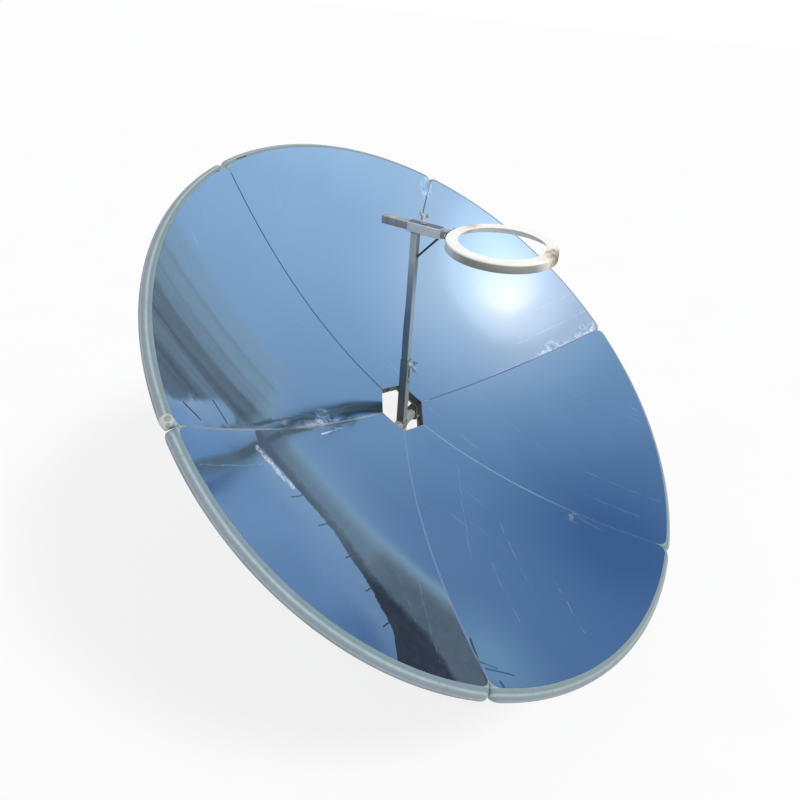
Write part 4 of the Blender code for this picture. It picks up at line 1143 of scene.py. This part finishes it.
# Arm, its end plate, bracket and pot ring.
armShape = {"halves": (0.010, 0.010), "wall": 0.0016, "corner": 0.0020, "ends": (-0.0902, 0.0916)}
armBar = squareTube("arm_bar", "galvanised dark", alongX, **armShape)
# painted shade under the arm
tintByNormal(armBar, {"-z": 1})
fit(evenNormals(armBar), "arm", "galvanised_steel", "arm_tube")

bm = bmesh.new()
squareLoft(bm, alongX, armShape["halves"], 0.0020, [(0.0012, -0.0930), (0.0, -0.0922), (0.0, -0.0906)])
squareLoft(bm, alongX, (0.0080, 0.0080), 0.0012, [(0.0, -0.0910), (0.0, -0.0794), (0.0004, -0.0790)])
fit(holdMesh("arm_end_plate", bm, "galvanised"), "arm", "black_plastic", "arm_end_cap")

ringShape = {
    "x": 0.224, "top": 1.0464, "outer": 0.1288, "inner": 0.100, "skirt": 0.022, "wall": 0.002, "round": 0.0045,
}
outer, inner, skirt, wall, soft = (ringShape[key] for key in ("outer", "inner", "skirt", "wall", "round"))
edge, inside, middle = 0.0006, soft - wall, Vector((outer - soft, -soft, 0))
profile = [(inner + edge, 0.0), (outer - soft, 0.0)]
profile += [(middle + polar(soft, quarter * (1 - k / 6)))[:2] for k in range(1, 7)]
profile += [(outer, -skirt + 0.0008), (outer - edge, -skirt)]
profile += [(outer - wall + 0.0004, -skirt), (outer - wall, -skirt + edge)]
profile += [(middle + polar(inside, quarter * k / 4))[:2] for k in range(5)]
profile += [(inner + edge, -wall), (inner, -wall + edge), (inner, -edge)]
bm = bmesh.new()
turned(bm, moved(ringShape["x"], 0, ringShape["top"]), profile, 144, closed=True)
fit(holdMesh("pot_ring_shell", bm, "enamel", 40.0), "arm", "ring_enamel", "pot_ring")

bracket = {
    "plate": ((0.0919, -0.024, 1.0249), (0.0949, 0.024, 1.0439), 0.0009, 3),
    "plug": ((0.0676, -0.0080, armHeight - 0.0080), (0.0925, 0.0080, armHeight + 0.0080), 0.0006, 2),
    "boltY": 0.017, "boltZ": 1.0349, "boltHead": (0.0876, 0.0916), "across": 0.009, "seed": 6,
}
bm = bmesh.new()
for part in ("plate", "plug"):
    softBox(bm, upright, *bracket[part])
fit(holdMesh("bracket_plate", bm, "olive"), "arm", "bracket_paint", "ring_bracket")
skirtFace = ringShape["x"] - math.sqrt((outer - wall) ** 2 - bracket["boltY"] ** 2)
measures = (*bracket["boltHead"], skirtFace + 0.0012, skirtFace + 0.0052, bracket["across"])
ringSpots = [((0, side * bracket["boltY"], bracket["boltZ"]), (1, 0, 0)) for side in (-1, 1)]
ringBolts = boltField("ring_bolts", measures, ringSpots, bracket["seed"])
fit(ringBolts, "arm", "zinc_hardware", "ring_bolt_1", "ring_bolt_2")
print("arm and ring ready")


# Knobs
def lobedKnob(name, place, reach, radius, shank=0.004, edge=0.0005, lobes=7):
    bm = bmesh.new()
    turned(bm, place, [(0, -reach), (shank - edge, -reach), (shank, -reach + edge), (shank, 0.0045), (0, 0.0045)], 24)
    turned(bm, place, [
        (0, 0.0033), (radius * 0.62, 0.0033), (radius * 0.90, 0.0036), (radius * 0.98, 0.0050), (radius, 0.0075),
        (radius, 0.0165), (radius * 0.97, 0.0192), (radius * 0.86, 0.0208), (radius * 0.55, 0.0213),
        (radius * 0.45, 0.0206), (0, 0.0204),
    ], lobes * 14, wave=lambda angle: (1.0 + 0.12 * math.cos(lobes * angle)) / 1.12)
    return holdMesh(name, bm, "plastic", 50.0)


knobHeight = 0.3063
swivelKnobFrame = moved(-0.0215, 0, knobHeight) @ spun(-quarter, "Y")
fit(lobedKnob("swivel_grip", swivelKnobFrame, 0.0026, 0.016), "swivel_clamp", "black_plastic", "swivel_knob")
tiltKnobFrame = moved(0, -0.0633, 0.3616) @ spun(quarter, "X")
fit(lobedKnob("tilt_grip", tiltKnobFrame, 0.027, 0.017), "tilt_clamp", "black_plastic", "tilt_knob")

# Column and its cross base.
columnShape = {
    "tube": (0.0212, 0.0186, 0.3413), "boreLow": 0.1013, "flange": (0.045, 0.0606), "stud": (0.006, 0.0085),
    "edge": 0.0008,
}
(outer, bore, top), (flange, low), (stud, foot) = (columnShape[key] for key in ("tube", "flange", "stud"))
edge = columnShape["edge"]
bm = bmesh.new()
turned(bm, upright, [
    (0, columnShape["boreLow"]), (bore, columnShape["boreLow"]), (bore, top - 0.0006), (bore + 0.0006, top),
    (outer - edge, top), (outer, top - edge), (outer, low + 0.0058), (flange - 0.0012, low + 0.0052),
    (flange, low + 0.0040), (flange, low + edge), (flange - edge, low), (stud, low), (stud, foot + edge),
    (stud - edge, foot), (0, foot),
], 64)
column, hole = holdMesh("column_tube", bm, "stand"), bmesh.new()
roundBar(hole, upright, (-0.06, 0, knobHeight), (-0.01, 0, knobHeight), 0.0043)
fit(carved(column, hole), "base", "stand_paint", "column")
weldPath("column_weld", [(circlePath(upright, 0.0222, 0.0668, 60), True)], "base", "stand_paint", 0.0016, 12, "stand")

beamShape = {"halves": (0.010, 0.020), "wall": 0.002, "corner": 0.0030, "ends": (-0.350, 0.350), "edge": 0.0004}
beamSet = {
    "boltHole": 0.0063, "play": 0.0002,
    "plug": [(0.0, 0.022), (0.0, 0.0022), (0.0004, 0.0012), (0.0016, 0.0004), (0.0040, 0.0)],
}
for name, level, angle, body, node in (
    ("lower_beam", 0.030, math.pi / 4, "base", "beam_lower"),
    ("upper_beam", 0.0503, -math.pi / 4, "folding_beam", "beam_upper"),
):
    lying = moved(0, 0, level) @ spun(quarter, "Y")
    beam = squareTube(name, "stand", spun(angle, "Z") @ lying, **beamShape)
    hole = bmesh.new()
    roundBar(hole, upright, (0, 0, level - 0.03), (0, 0, level + 0.03), beamSet["boltHole"], 32)
    fit(evenNormals(carved(beam, hole)), body, "stand_paint", node)
    bm = bmesh.new()
    halves = [side - beamShape["wall"] - beamSet["play"] for side in beamShape["halves"]]
    rows = [(inset, beamShape["ends"][1] - short) for inset, short in beamSet["plug"]]
    for endTurn in (0.0, math.pi):
        squareLoft(bm, spun(angle + endTurn, "Z") @ lying, halves, 0.0022, rows)
    fit(holdMesh(name + "_plugs", bm, "plastic", 45.0), body, "black_plastic")

footShape = {"radius": 0.018, "reach": 0.330, "grooves": 3, "groovePitch": 0.0032}
footPlaces = [
    (math.pi / 4, 1, 0.0197, "base"), (math.pi / 4, -1, 0.0197, "base"),
    (-math.pi / 4, 1, 0.0400, "folding_beam"), (-math.pi / 4, -1, 0.0400, "folding_beam"),
]
for index, (angle, side, top, body) in enumerate(footPlaces):
    radius = footShape["radius"]
    profile = [(0, 0.0006), (radius - 0.0070, 0.0006), (radius - 0.0062, 0.0), (radius - 0.0012, 0.0)]
    profile += [(radius - 0.0002, 0.0010), (radius, 0.0025)]
    for groove in range(footShape["grooves"]):
        level = 0.0045 + groove * footShape["groovePitch"]
        profile += [(radius - 0.0004, level), (radius - 0.0011, level + 0.0005)]
        profile += [(radius - 0.0011, level + 0.0011), (radius - 0.0006, level + 0.0016)]
    profile += [(radius - 0.0018, top - 0.0020), (radius - 0.0030, top - 0.0006), (radius - 0.0040, top), (0, top)]
    bm = bmesh.new()
    turned(bm, Matrix.Translation(polar(side * footShape["reach"], angle)), profile, 48)
    fit(holdMesh(f"rubber_foot_{index + 1}", bm, "rubber", 40.0), body, "rubber", f"foot_{index + 1}")

bm = bmesh.new()
turned(bm, upright, [
    (0, 0.0075), (0.014, 0.0075), (0.014, 0.0190), (0.0146, 0.0197), (0.0272, 0.0197), (0.0280, 0.0190),
    (0.0283, 0.0150), (0.0276, 0.0144), (0.0277, 0.0120), (0.0286, 0.0114), (0.0300, 0.0022), (0.0294, 0.0008),
    (0.0280, 0.0), (0.0200, 0.0), (0.0190, 0.0008), (0, 0.0008),
], 56)
fit(holdMesh("rubber_centre_foot", bm, "rubber", 40.0), "base", "rubber", "centre_foot")
print("stand ready")

# CAD nodes that keep their shape.
kept = {
    # the pivot ear takes the dark finish as painted shade
    "galvanised": ("hub_ring", "tilt_plate"), "dark": ("pivot_ear",),
    "zinc": ("axle", "axle_nut", "base_nut", "ear_bolt_1", "ear_bolt_2", "ear_bolt_3", "ear_bolt_4"),
}
for tint, names in kept.items():
    for name in names:
        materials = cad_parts[name].data.materials
        materials.clear()
        materials.append(finish[tint])


# Floor, world and lamps
def flatToRays(tree, cameraShare, shaded, flat, output):  # rays from the camera, mirrors and glass see a flat tone
    rays = tree.nodes.new("ShaderNodeLightPath")
    seen, glossy, through = (Wire(rays, f"Is {kind} Ray") for kind in ("Camera", "Glossy", "Transmission"))
    factor = (seen * cameraShare).most(glossy.most(through))
    plug(tree.nodes[output].inputs["Surface"], addNode(tree, "ShaderNodeMixShader", (factor, shaded, flat)))


def floorMaterial():
    made = newMaterial("paleFloor")
    tree = made.node_tree
    tone = mix(objectPlace(made).noise(3.0, 4.0).spread(0.3, 0.7), (0.80, 0.80, 0.80), (0.84, 0.84, 0.84))
    surface(made, tone, 0.9, specular=0.2)
    shaded = Wire(tree.nodes["Principled BSDF"])
    flatToRays(tree, 0.80, shaded, addNode(tree, "ShaderNodeEmission"), "Material Output")
    return made


floorHalf = 30
floorMesh = bpy.data.meshes.new("floor")
corners = [(x * floorHalf, y * floorHalf, 0) for x, y in ((-1, -1), (1, -1), (1, 1), (-1, 1))]
floorMesh.from_pydata(corners, [], [(0, 1, 2, 3)])
floorMesh.materials.append(floorMaterial())
addObject("floor", floorMesh)

light = {
    "fill": ((0.95, 0.97, 1.0), 0.62), "backdrop": ((1, 1, 1), 1.0),
    "lamps": [  # strength, degrees across, where it stands, the rays it leaves alone; glints: the sun in the mirror
        ("softSun", 1.9, 14, (0.568, 0.05, 0.823), "visible_glossy"),
        ("glintCore", 0.014, 14, (0.640, 0.066, 0.766), "visible_diffuse"),
        ("glintHalo", 0.034, 24, (0.640, 0.066, 0.766), "visible_diffuse"),
    ],
}
world = bpy.data.worlds.new("studio")
world.use_nodes = True
scene.world = world
fill = Wire(world.node_tree.nodes["Background"])
for socket, value in zip(fill.node.inputs, light["fill"]):
    plug(socket, value)
backdrop = addNode(fill.tree, "ShaderNodeBackground", light["backdrop"])
flatToRays(fill.tree, 1.0, fill, backdrop, "World Output")
for name, strength, width, place, leftAlone in light["lamps"]:
    lamp = addObject(name, bpy.data.lights.new(name, "SUN"))
    lamp.data.energy, lamp.data.angle = strength, math.radians(width)
    lamp.rotation_euler = Vector(place).to_track_quat("Z", "Y").to_euler()
    setattr(lamp, leftAlone, False)
print("stage ready,", len(finished), "pieces")
